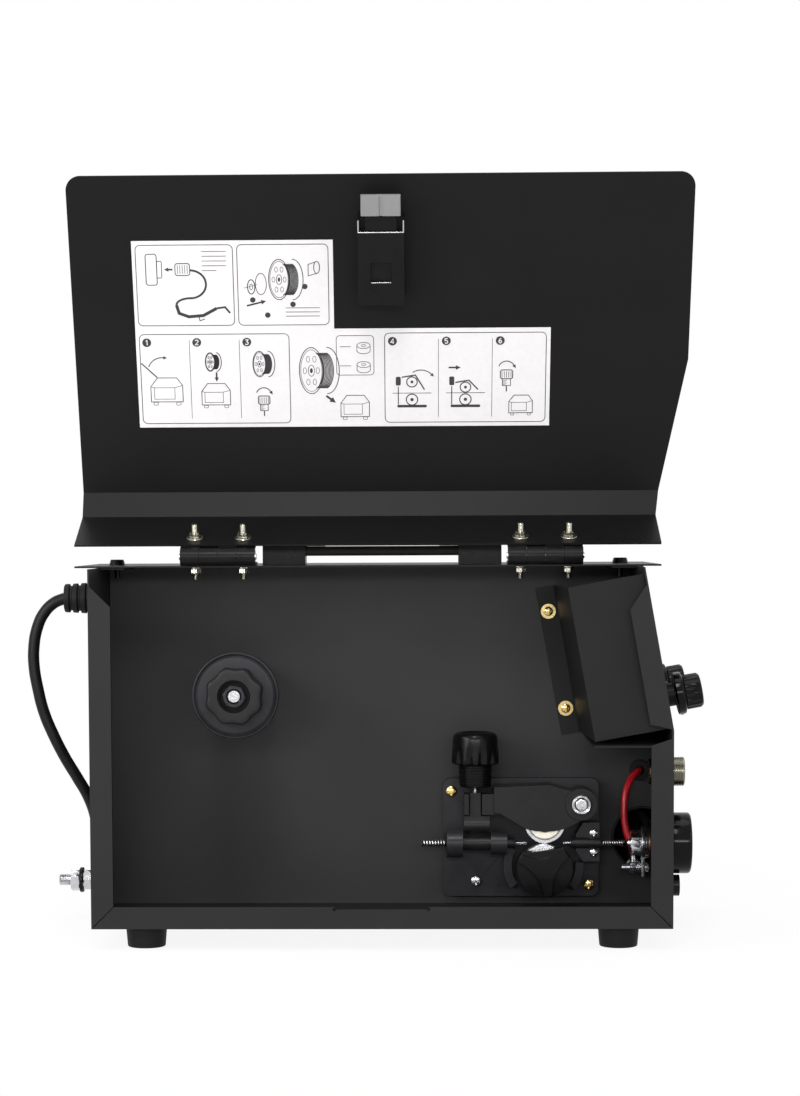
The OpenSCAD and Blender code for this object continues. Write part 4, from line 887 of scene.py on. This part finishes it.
def make_rear_connectors():
    stud = Vector((0, STUD_Y, STUD_Z))

    def threaded(made):
        thread(made, stud + ALONG_X * -282, ALONG_X, 5, 67, 1.5)

    def nuts(made):
        hex_nut(made, stud + ALONG_X * -271.7, ALONG_X, 17, 7.7, 4.9, 8)
        hex_nut(made, stud + ALONG_X * -260.9, ALONG_X, 17, 7.6, 4.9, 22)
        washer(made, stud + ALONG_X * -253.2, ALONG_X, 10, 4.9, 1.2)
        washer(made, stud + ALONG_X * -251.9, ALONG_X, 10, 4.9, 1.2)
        hex_nut(made, stud + ALONG_X * -227, ALONG_X, 17, 4.4, 4.9)

    add_piece("power_stud_thread", threaded, "case", ZINC, replaces="power_stud")
    add_piece("power_stud_nuts", nuts, "case", ZINC, replaces="power_stud")

    gas = Vector((0, 205, 120))

    def valve(made):
        revolve(made, [
            (2.2, -253), (4.2, -253), (4.6, -252.6), (5.7, -250.2), (5.8, -249.8), (4.6, -247.6),
            (5.7, -246.4),
            (5.8, -246), (4.6, -243.6), (4.6, -240.4), (5.4, -240), (5.4, -229), (2.2, -229), (2.2, -253),
        ], gas, ALONG_X, 48)
        hex_nut(made, gas + ALONG_X * -240, ALONG_X, 14, 4.9, 5.0, 15)
        block(made, -228.9, -199, 190, 220, 105, 135)
        revolve(made, [(4.2, -199.1), (4.2, -184.1)], gas, ALONG_X, 32)

    def coil_case(made):
        revolve(made, [(12.6, 135.1), (13, 135.5), (13, 164.4), (12.4, 165), (0, 165)], (-214, 205, 0),
            ALONG_Z, 48)

    add_piece("gas_valve_body", valve, "case", BRASS, rounded=0.4, replaces="gas_valve")
    add_piece("gas_valve_coil", coil_case, "case", BLACK_PLASTIC, replaces="gas_valve")
    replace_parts(tube("gas_hose", HOSE_ROUTE, 4, "case", RUBBER), "gas_valve")


HOSE_ROUTE = [
    (-184, 205, 120), (-150, 205, 120), (-110, 212, 122), (-60, 224, 124), (0, 232, 124),
    (60, 232, 122), (120, 222, 116), (170, 204, 104), (204, 184, 90), (222, 166, 76),
    (228, 153, 63), (228, 145, 57.5), (228, 140, 57.5),
]
POWER_ROUTE = [
    (-206, 165, 19.5), (-170, 165, 20), (-140, 175, 22), (-110, 200, 34), (-80, 225, 52),
    (-40, 240, 72), (10, 248, 86), (60, 250, 92), (110, 245, 92), (150, 228, 86), (180, 202, 70),
    (198, 180, 57), (208, 166, 51.5), (212.5, 156, 48.5), (214, 148, 44.5), (213.8, 144, 41.8),
    (213, 140.5, 39), (212.3, 137, 36.8), (212, 134, 36),
]
RED_ROUTE = [
    (219, 165, 116), (219, 155, 116), (219, 147, 116), (218.6, 141.5, 115.8), (215.4, 136.5, 114),
    (210.5, 131.5, 109), (207, 128, 102), (205, 125.5, 93), (204.3, 124, 84), (204.8, 123.3, 74),
    (206.6, 123, 64), (209.4, 123, 56), (211.5, 123, 50), (212, 123, 46),
]


def make_leads():
    """The black supply lead and the red sensing lead, with their crimped lugs."""
    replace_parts(tube("supply_lead", POWER_ROUTE, 5, "case", CABLE), "power_leads")
    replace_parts(tube("red_sensing_lead", RED_ROUTE, 2.9, "case", RED_LEAD), "power_leads")

    def lugs(made):
        revolve(made, [(5.1, -222), (8, -222), (8, -206.1), (5.1, -206.1), (5.1, -222)],
            (0, STUD_Y, STUD_Z), ALONG_X, 32)
        revolve(made, [(0, 129), (5.2, 129), (5.6, 129.4), (5.6, 133.9), (0, 133.9)],
            (212, 0, WIRE_Z - 21), ALONG_Y, 32)
        for x, y0, y1, z0, z1, t in ((HALF_W - 19.1, 105, 131, 30, 42, 1.3),
                (HALF_W - 21.6, 107, 125, 31.6, 40.4, 0.8)):
            points = [(y1, z0), (y1, z1), (WIRE_Y + 2, z1)]
            half = (z1 - z0) / 2
            for k in range(1, 8):
                a = math.pi / 2 + math.pi * k / 8
                points.append((WIRE_Y + 0.5 + half * math.cos(a), (z0 + z1) / 2 + half * math.sin(a)))
            points.append((WIRE_Y + 2, z0))
            prism(made, points, (x, 0, 0), ALONG_Y, ALONG_Z, (t, 0, 0))
        revolve(made, [(0, 39), (2.6, 39), (2.6, 45.9), (0, 45.9)], (212, 123, 0), ALONG_Z, 24)

    add_piece("lead_lugs", lugs, "case", ZINC, replaces="power_leads")


# ---------------------------------------------------------------- lid latch

def make_latch():
    def head(made):
        prism(made, [
            (-16.1, 2.3), (16.1, 2.3), (16.1, 7.4), (15.5, 8.1), (1.5, 8.1), (0.9, 6.9), (-0.9, 6.9),
            (-1.5, 8.1),
            (-15.5, 8.1), (-16.1, 7.4),
        ], (LATCH_X, 0, LATCH_Z - 29.2), ALONG_X, ALONG_Y, (0, 0, 16.7))

    def slide(made):
        block(made, LATCH_X - 13, LATCH_X + 13, 2.3, 5.9, LATCH_Z - 12.6, LATCH_Z + 45.6)
        block(made, LATCH_X - 4, LATCH_X + 4, -18.4, 2.4, LATCH_Z + 8, LATCH_Z + 16)
        block(made, LATCH_X - 10, LATCH_X + 10, -23.9, -18.3, LATCH_Z, LATCH_Z + 24)

    # Thin bright steel strips along the latch body's edges: painted highlights standing in for the glints on
    # those edges.
    def rim(made):
        for side in (-1, 1):
            edge = LATCH_X + side * 18.2
            block(made, edge - 0.5, edge + 0.5, 8.4, 9.0, LATCH_Z - 9.4, LATCH_Z + 0.4)
        block(made, LATCH_X - 18.7, LATCH_X + 18.7, 8.4, 9.0, LATCH_Z + 0.1, LATCH_Z + 0.9)
        block(made, LATCH_X - 8.2, LATCH_X + 8.2, 8.4, 8.9, LATCH_Z + 41.7, LATCH_Z + 42.3)

    add_piece("latch_painted_glint_rim", rim, "lid", STEEL, LID_OPEN, 0.2)
    add_piece(
        "latch_bolt_head", head, "latch", LATCH_GREY, LID_OPEN, 0.5, replaces="latch_bolt",
    )
    add_piece(
        "latch_tongue", slide, "latch", LATCH_BLACK, LID_OPEN, 0.5, replaces="latch_bolt",
    )


# ---------------------------------------------------------------- instruction label

LABEL_FACE = LID_INNER_Y + 0.4
PRINT = 0.12


def stroke(made, points, width=0.7, closed=False, face=LABEL_FACE):
    """A printed line on the label along (x, z) points, mitred where it turns."""
    points = [Vector(p) for p in points]
    count = len(points)
    left, right = [], []
    for k, point in enumerate(points):
        before = points[k - 1] if k or closed else None
        after = points[(k + 1) % count] if k < count - 1 or closed else None
        arrives = point - before if before else None
        leaves = after - point if after else None
        ways = [way.normalized() for way in (arrives, leaves) if way]
        way = sum(ways, Vector((0, 0))).normalized()
        square = Vector((-way.y, way.x))
        reach = width / 2 / max(abs(square.dot(Vector((-ways[0].y, ways[0].x)))), 0.5)
        left.append(point + square * reach)
        right.append(point - square * reach)
    rows = [
        [made.verts.new((p.x, y, p.y)) for p, y in
         ((l, face - 0.02), (l, face + PRINT), (r, face + PRINT), (r, face - 0.02))]
        for l, r in zip(left, right)
    ]
    skin(made, rows, closed)


def patch(made, points, face=LABEL_FACE, lift=PRINT):
    """A filled shape on the label."""
    prism(made, points, (0, face - 0.02, 0), ALONG_X, ALONG_Z, (0, lift + 0.02, 0))


def oval(x, z, rx, rz, start=0, end=360, steps=40, turn=0):
    """Points on an ellipse, or on part of it, measured clockwise as the label is read."""
    points = []
    span = end - start
    whole = abs(span) >= 360
    for k in range(steps if whole else steps + 1):
        a = math.radians(start + span * k / steps)
        p, q = rx * math.cos(a), rz * math.sin(a)
        c, s = math.cos(math.radians(turn)), math.sin(math.radians(turn))
        points.append((x + p * c - q * s, z + p * s + q * c))
    return points


def rounded(x0, x1, z0, z1, r):
    points = []
    for cx, cz, start in ((x1 - r, z1 - r, 0), (x0 + r, z1 - r, 90), (x0 + r, z0 + r, 180),
            (x1 - r, z0 + r, 270)):
        points += oval(cx, cz, r, r, start, start + 90, 5)
    return points


def arrow(made, tail, tip, width=1.6, head=4.5):
    """A solid arrow from tail to tip."""
    tail, tip = Vector(tail), Vector(tip)
    way = (tip - tail).normalized()
    side = Vector((-way.y, way.x))
    neck = tip - way * head
    patch(made, [
        tuple(tail + side * width / 2), tuple(neck + side * width / 2), tuple(neck + side * head * 0.5),
        tuple(tip),
        tuple(neck - side * head * 0.5), tuple(neck - side * width / 2), tuple(tail - side * width / 2),
    ])


def turning_arrow(made, x, z, r, start, end):
    points = oval(x, z, r, r, start, end, 14)
    stroke(made, points, 0.8)
    before, last = Vector(points[-2]), Vector(points[-1])
    way = (last - before).normalized()
    arrow(made, last - way * 0.4, last + way * 3.2, 0.8, 3.0)


def spool_sketch(made, x, z, size):
    """A wire spool seen at an angle."""
    stroke(made, oval(x, z, 0.5 * size, size), 0.7, True)
    stroke(made, oval(x, z, 0.44 * size, 0.9 * size), 0.4, True)
    stroke(made, oval(x, z, 0.13 * size, 0.24 * size), 0.5, True)
    patch(made, oval(x, z, 0.06 * size, 0.11 * size, steps=16))
    for turn in range(60, 421, 60):
        hole_x = x + 0.27 * size * math.cos(math.radians(turn))
        hole_z = z + 0.57 * size * math.sin(math.radians(turn))
        stroke(made, oval(hole_x, hole_z, 0.07 * size, 0.13 * size, steps=14), 0.4, True)
    for k in range(9):
        shift = (0.12 + 0.055 * k) * size
        stroke(made, oval(x + shift, z, 0.36 * size, 0.78 * size, -78, 78, 18), 0.75)
    stroke(made, oval(x + 0.66 * size, z, 0.5 * size, size, -92, 92, 26), 0.7)
    stroke(made, [(x, z - size), (x + 0.12 * size, z - size * 0.99)], 0.6)
    stroke(made, [(x, z + size), (x + 0.12 * size, z + size * 0.99)], 0.6)


def case_sketch(made, x, z, s, lid=0.0):
    """A feeder case from its end: a box with a slanted face, and its lid raised by a share."""
    stroke(made, [
        (x - 14 * s, z + 11 * s), (x - 14 * s, z - 3 * s), (x - 8 * s, z - 11 * s), (x + 9 * s, z - 11 * s),
        (x + 14 * s, z - 4 * s), (x + 14 * s, z + 11 * s),
    ], 0.6, True)
    stroke(made, [(x - 11 * s, z + 8.5 * s), (x - 11 * s, z - 2 * s), (x + 7 * s, z - 2 * s),
        (x + 7 * s, z + 8.5 * s)], 0.4, True)
    stroke(made, [(x - 14 * s, z - 3 * s), (x - 11 * s, z - 2 * s)], 0.4)
    stroke(made, [(x + 7 * s, z - 2 * s), (x + 14 * s, z - 4 * s)], 0.4)
    for dx in (-10, 10):
        stroke(made, rounded(x + (dx - 2) * s, x + (dx + 2) * s, z + 11.4 * s, z + 14 * s, 0.8), 0.4, True)
    if lid:
        a = math.radians(180 + 75 * lid)
        far = (x - 8 * s + 19 * s * math.cos(a), z - 11 * s + 19 * s * math.sin(a))
        stroke(made, [(x - 8 * s, z - 11.4 * s), far], 1.0)


def rollers_sketch(made, x, z, s, opened=False):
    """The pair of feed rollers with the wire between them and the pressure arm above."""
    lift = 5 * s if opened else 0
    patch(made, rounded(x - 13 * s, x + 13 * s, z + 10.8 * s, z + 13.2 * s, 1))
    stroke(made, oval(x, z + 6 * s, 5 * s, 5 * s, steps=28), 0.9, True)
    patch(made, oval(x, z + 6 * s, 1.5 * s, 1.5 * s, steps=14))
    stroke(made, oval(x, z - 5.2 * s - lift, 4.6 * s, 4.6 * s, steps=28), 0.9, True)
    patch(made, oval(x, z - 5.2 * s - lift, 1.3 * s, 1.3 * s, steps=14))
    stroke(made, [(x - 17 * s, z), (x + 17 * s, z)], 0.5)
    stroke(made, [(x - 9 * s, z - 9.5 * s - lift), (x + 3 * s, z - 11.5 * s - lift),
        (x + 11 * s, z - 3 * s)], 1.1)
    stroke(made, [(x - 12 * s, z + 10.5 * s), (x - 12 * s, z - 6 * s)], 0.8)
    patch(made, rounded(x - 14.2 * s, x - 9.8 * s, z - 15 * s, z - 7 * s, 1.2))


def knob_sketch(made, x, z, s):
    stroke(made, rounded(x - 6 * s, x + 6 * s, z - 9 * s, z, 2 * s), 0.8, True)
    for k in range(-2, 3):
        stroke(made, [(x + 2.2 * k * s, z - 7.5 * s), (x + 2.2 * k * s, z - 1.2 * s)], 0.5)
    stroke(made, [(x - 4 * s, z), (x - 4 * s, z + 7 * s), (x + 4 * s, z + 7 * s), (x + 4 * s, z)], 0.6)
    for k in range(4):
        line_z = z + (1.6 + 1.4 * k) * s
        stroke(made, [(x - 4 * s, line_z), (x + (0.5 - k % 2 * 1.5) * s, line_z)], 0.4)
    stroke(made, [(x, z + 7 * s), (x, z + 13 * s)], 1.0)
    turning_arrow(made, x, z - 10 * s, 8 * s, 200, 330)


def torch_sketch(made):
    """A torch with its hose, and the socket that it screws into."""
    stroke(made, rounded(-192, -183, 68, 94, 2), 0.7, True)
    stroke(made, rounded(-183, -179, 74, 88, 1), 0.6, True)
    arrow(made, (-170, 81), (-177, 81), 1.4, 3.6)
    stroke(made, rounded(-168, -156, 76, 86, 2), 0.7, True)
    for k in range(5):
        stroke(made, [(-166 + 2 * k, 77.5), (-166 + 2 * k, 84.5)], 0.45)
    stroke(made, oval(-156, 93.5, 13, 11.8, -90, 90, 16) + oval(-156, 111, 12, 5.8, 270, 180, 8), 1.7)
    stroke(made, [(-168, 111), (-166, 118), (-158, 121), (-146, 120), (-135, 114)], 2.6)
    stroke(made, [(-135, 114), (-128, 113), (-124, 118)], 1.6)
    stroke(made, [(-150, 120.5), (-149, 124.5), (-145, 123)], 0.7)


def print_label(made):
    for x0, x1, z0, z1 in ((-200, -120.5, 60.5, 128.5), (-117, -42.5, 60.5, 128.5),
            (-200, -76, 136, 213.5), (3, 136.5, 136, 213.5)):
        stroke(made, rounded(x0, x1, z0, z1, 4), 0.6, True)
    stroke(made, rounded(-37, -6, 138, 172, 3), 0.5, True)
    for x in (-158.7, -117.3, 47.5, 92):
        stroke(made, [(x, 141), (x, 209)], 0.4)
    torch_sketch(made)
    for z in (74, 78, 82, 86, 90):
        stroke(made, [(-146, z - 8), (-126 - (z == 90) * 8, z - 8)], 0.5)

    # The spool, its hub and its nut along one line
    spool_sketch(made, -83, 90, 17)
    stroke(made, [(-112, 97), (-101, 94)], 0.4)
    stroke(made, oval(-106, 96, 3, 6), 0.8, True)
    stroke(made, oval(-106, 96, 1.2, 2.4), 0.5, True)
    stroke(made, oval(-98, 93.6, 4.5, 9), 0.6, True)
    stroke(made, oval(-52, 80, 2.4, 5), 0.7, True)
    stroke(made, [(-52, 75), (-59, 77.5), (-59, 87), (-52, 85)], 0.6)
    arrow(made, (-110, 112), (-94, 108), 1.4, 4)
    for z in (114, 117.5, 121):
        stroke(made, [(-78, z), (-50, z)], 0.5)

    case_sketch(made, -179, 184, 0.95, 0.6)
    turning_arrow(made, -182, 168, 12, 200, 275)
    case_sketch(made, -138, 188, 0.85)
    spool_sketch(made, -142, 160, 8)
    arrow(made, (-137, 169), (-137, 177), 1.4, 3.6)
    spool_sketch(made, -101, 162, 11)
    knob_sketch(made, -98, 197, 0.8)
    spool_sketch(made, -58, 168, 20)
    arrow(made, (-46, 190), (-38, 196), 1.8, 5)
    case_sketch(made, -22, 199, 0.85)
    for z in (146.5, 163):
        stroke(made, oval(-14.5, z, 5.5, 2.6), 0.5, True)
        stroke(made, oval(-14.5, z, 1.8, 0.9), 0.4, True)
        stroke(made, [(-20, z), (-20, z + 4.5)] + oval(-14.5, z + 4.5, 5.5, 2.6, 180, 0, 12) + [(-9, z)],
            0.5)
        stroke(made, [(-34, z + 1), (-25, z + 1)], 0.5)
    rollers_sketch(made, 25.5, 188, 0.95, True)
    turning_arrow(made, 33, 180, 12, 235, 315)
    rollers_sketch(made, 70, 188, 0.95)
    arrow(made, (56, 166), (66, 166), 1.4, 4)
    knob_sketch(made, 104, 176, 0.85)
    case_sketch(made, 116, 198, 0.7)

    for x, z in DISC_AT:
        patch(made, oval(x, z, 3.7, 3.7, steps=28))
    for x, z in ((-62, 96), (-72, 111), (-93, 120), (-105, 107)):
        patch(made, oval(x, z, 2.3, 2.3, steps=20))


DISC_AT = [(-194, 143), (-152.5, 143), (-111, 143), (9.5, 143), (54, 143), (98.5, 143)]
DIGITS = {
    1: [[(-0.8, -1.2), (0.3, -2.1), (0.3, 2.1)]],
    2: [[(-1.2, -1.3), (-0.7, -2.0), (0.5, -2.1), (1.2, -1.4), (1.1, -0.5), (-1.2, 2.0), (1.3, 2.0)]],
    3: [[(-1.2, -2.0), (1.1, -2.0), (0, -0.4), (1.1, 0.3), (1.1, 1.4), (0.3, 2.0), (-0.7, 2.0),
        (-1.3, 1.4)]],
    4: [[(0.6, 2.1), (0.6, -2.1), (-1.4, 0.9), (1.4, 0.9)]],
    5: [[(1.1, -2.0), (-1.0, -2.0), (-1.1, -0.2), (0.4, -0.4), (1.2, 0.5), (1.0, 1.6), (0.1, 2.1),
        (-1.2, 1.7)]],
    6: [[(0.8, -2.1), (-0.6, -1.0), (-1.2, 0.6), (-0.7, 1.8), (0.4, 2.1), (1.2, 1.2), (0.9, 0.1),
        (-0.2, -0.2), (-1.1, 0.6)]],
}


def print_digits(made):
    for number, (x, z) in enumerate(DISC_AT, 1):
        for line in DIGITS[number]:
            stroke(made, [(x + p, z + q) for p, q in line], 0.75, False, LABEL_FACE + PRINT)


def make_label():
    add_piece("label_line_print", print_label, "lid", INK, LID_OPEN)
    add_piece("label_numbers", print_digits, "lid", LABEL, LID_OPEN)


# ---------------------------------------------------------------- control cable

CABLE_R = 5
COIL_AT = (-165, 365)
CABLE_ROUTE = [
    (-274.5, 165, 264), (-284, 165, 260), (-293, 165, 251), (-299, 165, 238), (-302, 165, 222),
    (-302, 165, 205), (-299, 165, 186), (-294, 166, 165), (-286, 167, 145), (-277, 170, 126),
    (-267, 174, 108), (-258, 180, 90), (-253, 190, 70), (-253, 204, 50), (-256, 222, 31),
    (-260, 243, 14), (-262, 266, 0), (-260, 286, -9), (-252, 305, -12.6), (-240, 324, -12.6),
    (-230, 344, -12.6),
]
TAIL_ROUTE = [(-111, 373, 18), (-111, 362, 20), (-113, 351, 21)]


def coil_turns():
    """The coil's centreline, clockwise from above: two turns a layer, each step to the next turn
    taken 40 degrees further back than the last."""
    radii = [60, 50, 50, 60, 60, 50, 55]
    layers = [0, 0, 1, 1, 2, 2, 3]
    steps = [320, 640, 960, 1280, 1600, 1920]
    floor_z = -12.6
    points = []
    for total in range(0, 1961, 20):
        turn = sum(total >= step for step in steps)
        radius, height = radii[turn], layers[turn]
        if turn and total < steps[turn - 1] + 40:
            share = (total - steps[turn - 1]) / 40
            share = share * share * (3 - 2 * share)
            radius = radii[turn - 1] + share * (radii[turn] - radii[turn - 1])
            height = layers[turn - 1] + share * (layers[turn] - layers[turn - 1])
        angle = math.radians(180 - total)
        points.append((
            COIL_AT[0] + radius * math.cos(angle), COIL_AT[1] + radius * math.sin(angle),
            floor_z + height * 2 * CABLE_R,
        ))
    return points


def make_cable():
    cable = tube("control_cable_run", CABLE_ROUTE + coil_turns() + TAIL_ROUTE, CABLE_R, "case", CABLE)
    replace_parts(cable, "control_cable", "cable_coil")


# ---------------------------------------------------------------- stage

def seen_directly(tree):
    """1 for rays from the camera, straight or by way of a mirror or glass, and 0 for the rest."""
    path = tree.nodes.new("ShaderNodeLightPath")
    first = node(tree, "ShaderNodeMath", operation="MAXIMUM")
    both = node(tree, "ShaderNodeMath", operation="MAXIMUM")
    tree.links.new(path.outputs["Is Camera Ray"], first.inputs[0])
    tree.links.new(path.outputs["Is Transmission Ray"], first.inputs[1])
    tree.links.new(first.outputs[0], both.inputs[0])
    tree.links.new(path.outputs["Is Glossy Ray"], both.inputs[1])
    return both.outputs[0]


def make_stage():
    """A white floor and surround, and soft studio light from the front and above."""
    scene = bpy.context.scene
    scene.view_settings.view_transform = "Standard"
    world = bpy.data.worlds.new("studio")
    scene.world = world
    world.use_nodes = True
    tree = world.node_tree
    background = tree.nodes["Background"]
    strength = node(tree, "ShaderNodeMapRange")
    strength.inputs["To Min"].default_value = 0.5
    strength.inputs["To Max"].default_value = 1.0
    tree.links.new(seen_directly(tree), strength.inputs["Value"])
    tree.links.new(strength.outputs["Result"], background.inputs["Strength"])
    background.inputs["Color"].default_value = (1, 1, 1, 1)

    mesh = bpy.data.meshes.new("floor")
    made = bmesh.new()
    bmesh.ops.create_grid(made, x_segments=1, y_segments=1, size=15)
    made.to_mesh(mesh)
    made.free()
    floor = bpy.data.objects.new("floor", mesh)
    scene.collection.objects.link(floor)
    material, tree, shader = new_material("floor")
    tree.links.new(ramp(tree, noise(tree, 3), [(0.3, 0.88), (0.7, 0.9)]), shader.inputs["Base Color"])
    shader.inputs["Roughness"].default_value = 0.7
    white = node(tree, "ShaderNodeEmission", Strength=1.0)
    white.inputs["Color"].default_value = (1, 1, 1, 1)
    where = tree.nodes.new("ShaderNodeTexCoord")
    reach = node(tree, "ShaderNodeVectorMath", operation="LENGTH")
    tree.links.new(where.outputs["Object"], reach.inputs[0])
    fade = ramp(tree, reach.outputs["Value"], [(0.3, 0.9), (0.7, 1.0)])
    share = node(tree, "ShaderNodeMath", operation="MULTIPLY")
    tree.links.new(fade, share.inputs[0])
    tree.links.new(seen_directly(tree), share.inputs[1])
    mixed = tree.nodes.new("ShaderNodeMixShader")
    tree.links.new(share.outputs[0], mixed.inputs["Fac"])
    tree.links.new(shader.outputs["BSDF"], mixed.inputs[1])
    tree.links.new(white.outputs["Emission"], mixed.inputs[2])
    tree.links.new(mixed.outputs["Shader"], tree.nodes["Material Output"].inputs["Surface"])
    mesh.materials.append(material)

    def area(name, at, size, power, target):
        light = bpy.data.lights.new(name, "AREA")
        light.shape = "RECTANGLE"
        light.size, light.size_y = size
        light.energy = power
        lamp = bpy.data.objects.new(name, light)
        scene.collection.objects.link(lamp)
        lamp.location = at
        lamp.rotation_euler = (Vector(target) - Vector(at)).to_track_quat("-Z", "Y").to_euler()

    area("key", (-0.1, -1.9, 2.3), (0.6, 0.8), 28, (0, 0, 0.3))
    area("left_wash", (-0.75, -0.6, 0.55), (0.5, 0.7), 5, (-0.75, -0.6, 0))
    area("overhead", (0.1, 0.1, 2.6), (2.2, 1.6), 18, (0, 0, 0.2))
    area("front_strip", (0.0, -3.3, 0.8), (3.0, 0.3), 40, (0, 0, 0.2))
    area("front_left", (-1.5, -1.6, 0.7), (0.8, 1.0), 16, (-0.1, 0, 0.3))
    area("front_right", (2.4, -1.6, 1.0), (0.8, 1.6), 12, (0, 0, 0.25))


aim_camera()
make_cable()
make_leads()
make_screws()
make_hinge_bolts()
make_pressure_arm_parts()
make_tension_knob()
make_guides()
make_hub()
make_control_knobs()
make_torch_socket()
make_remote_socket()
make_rear_connectors()
make_latch()
make_label()
dress_nodes()
make_stage()
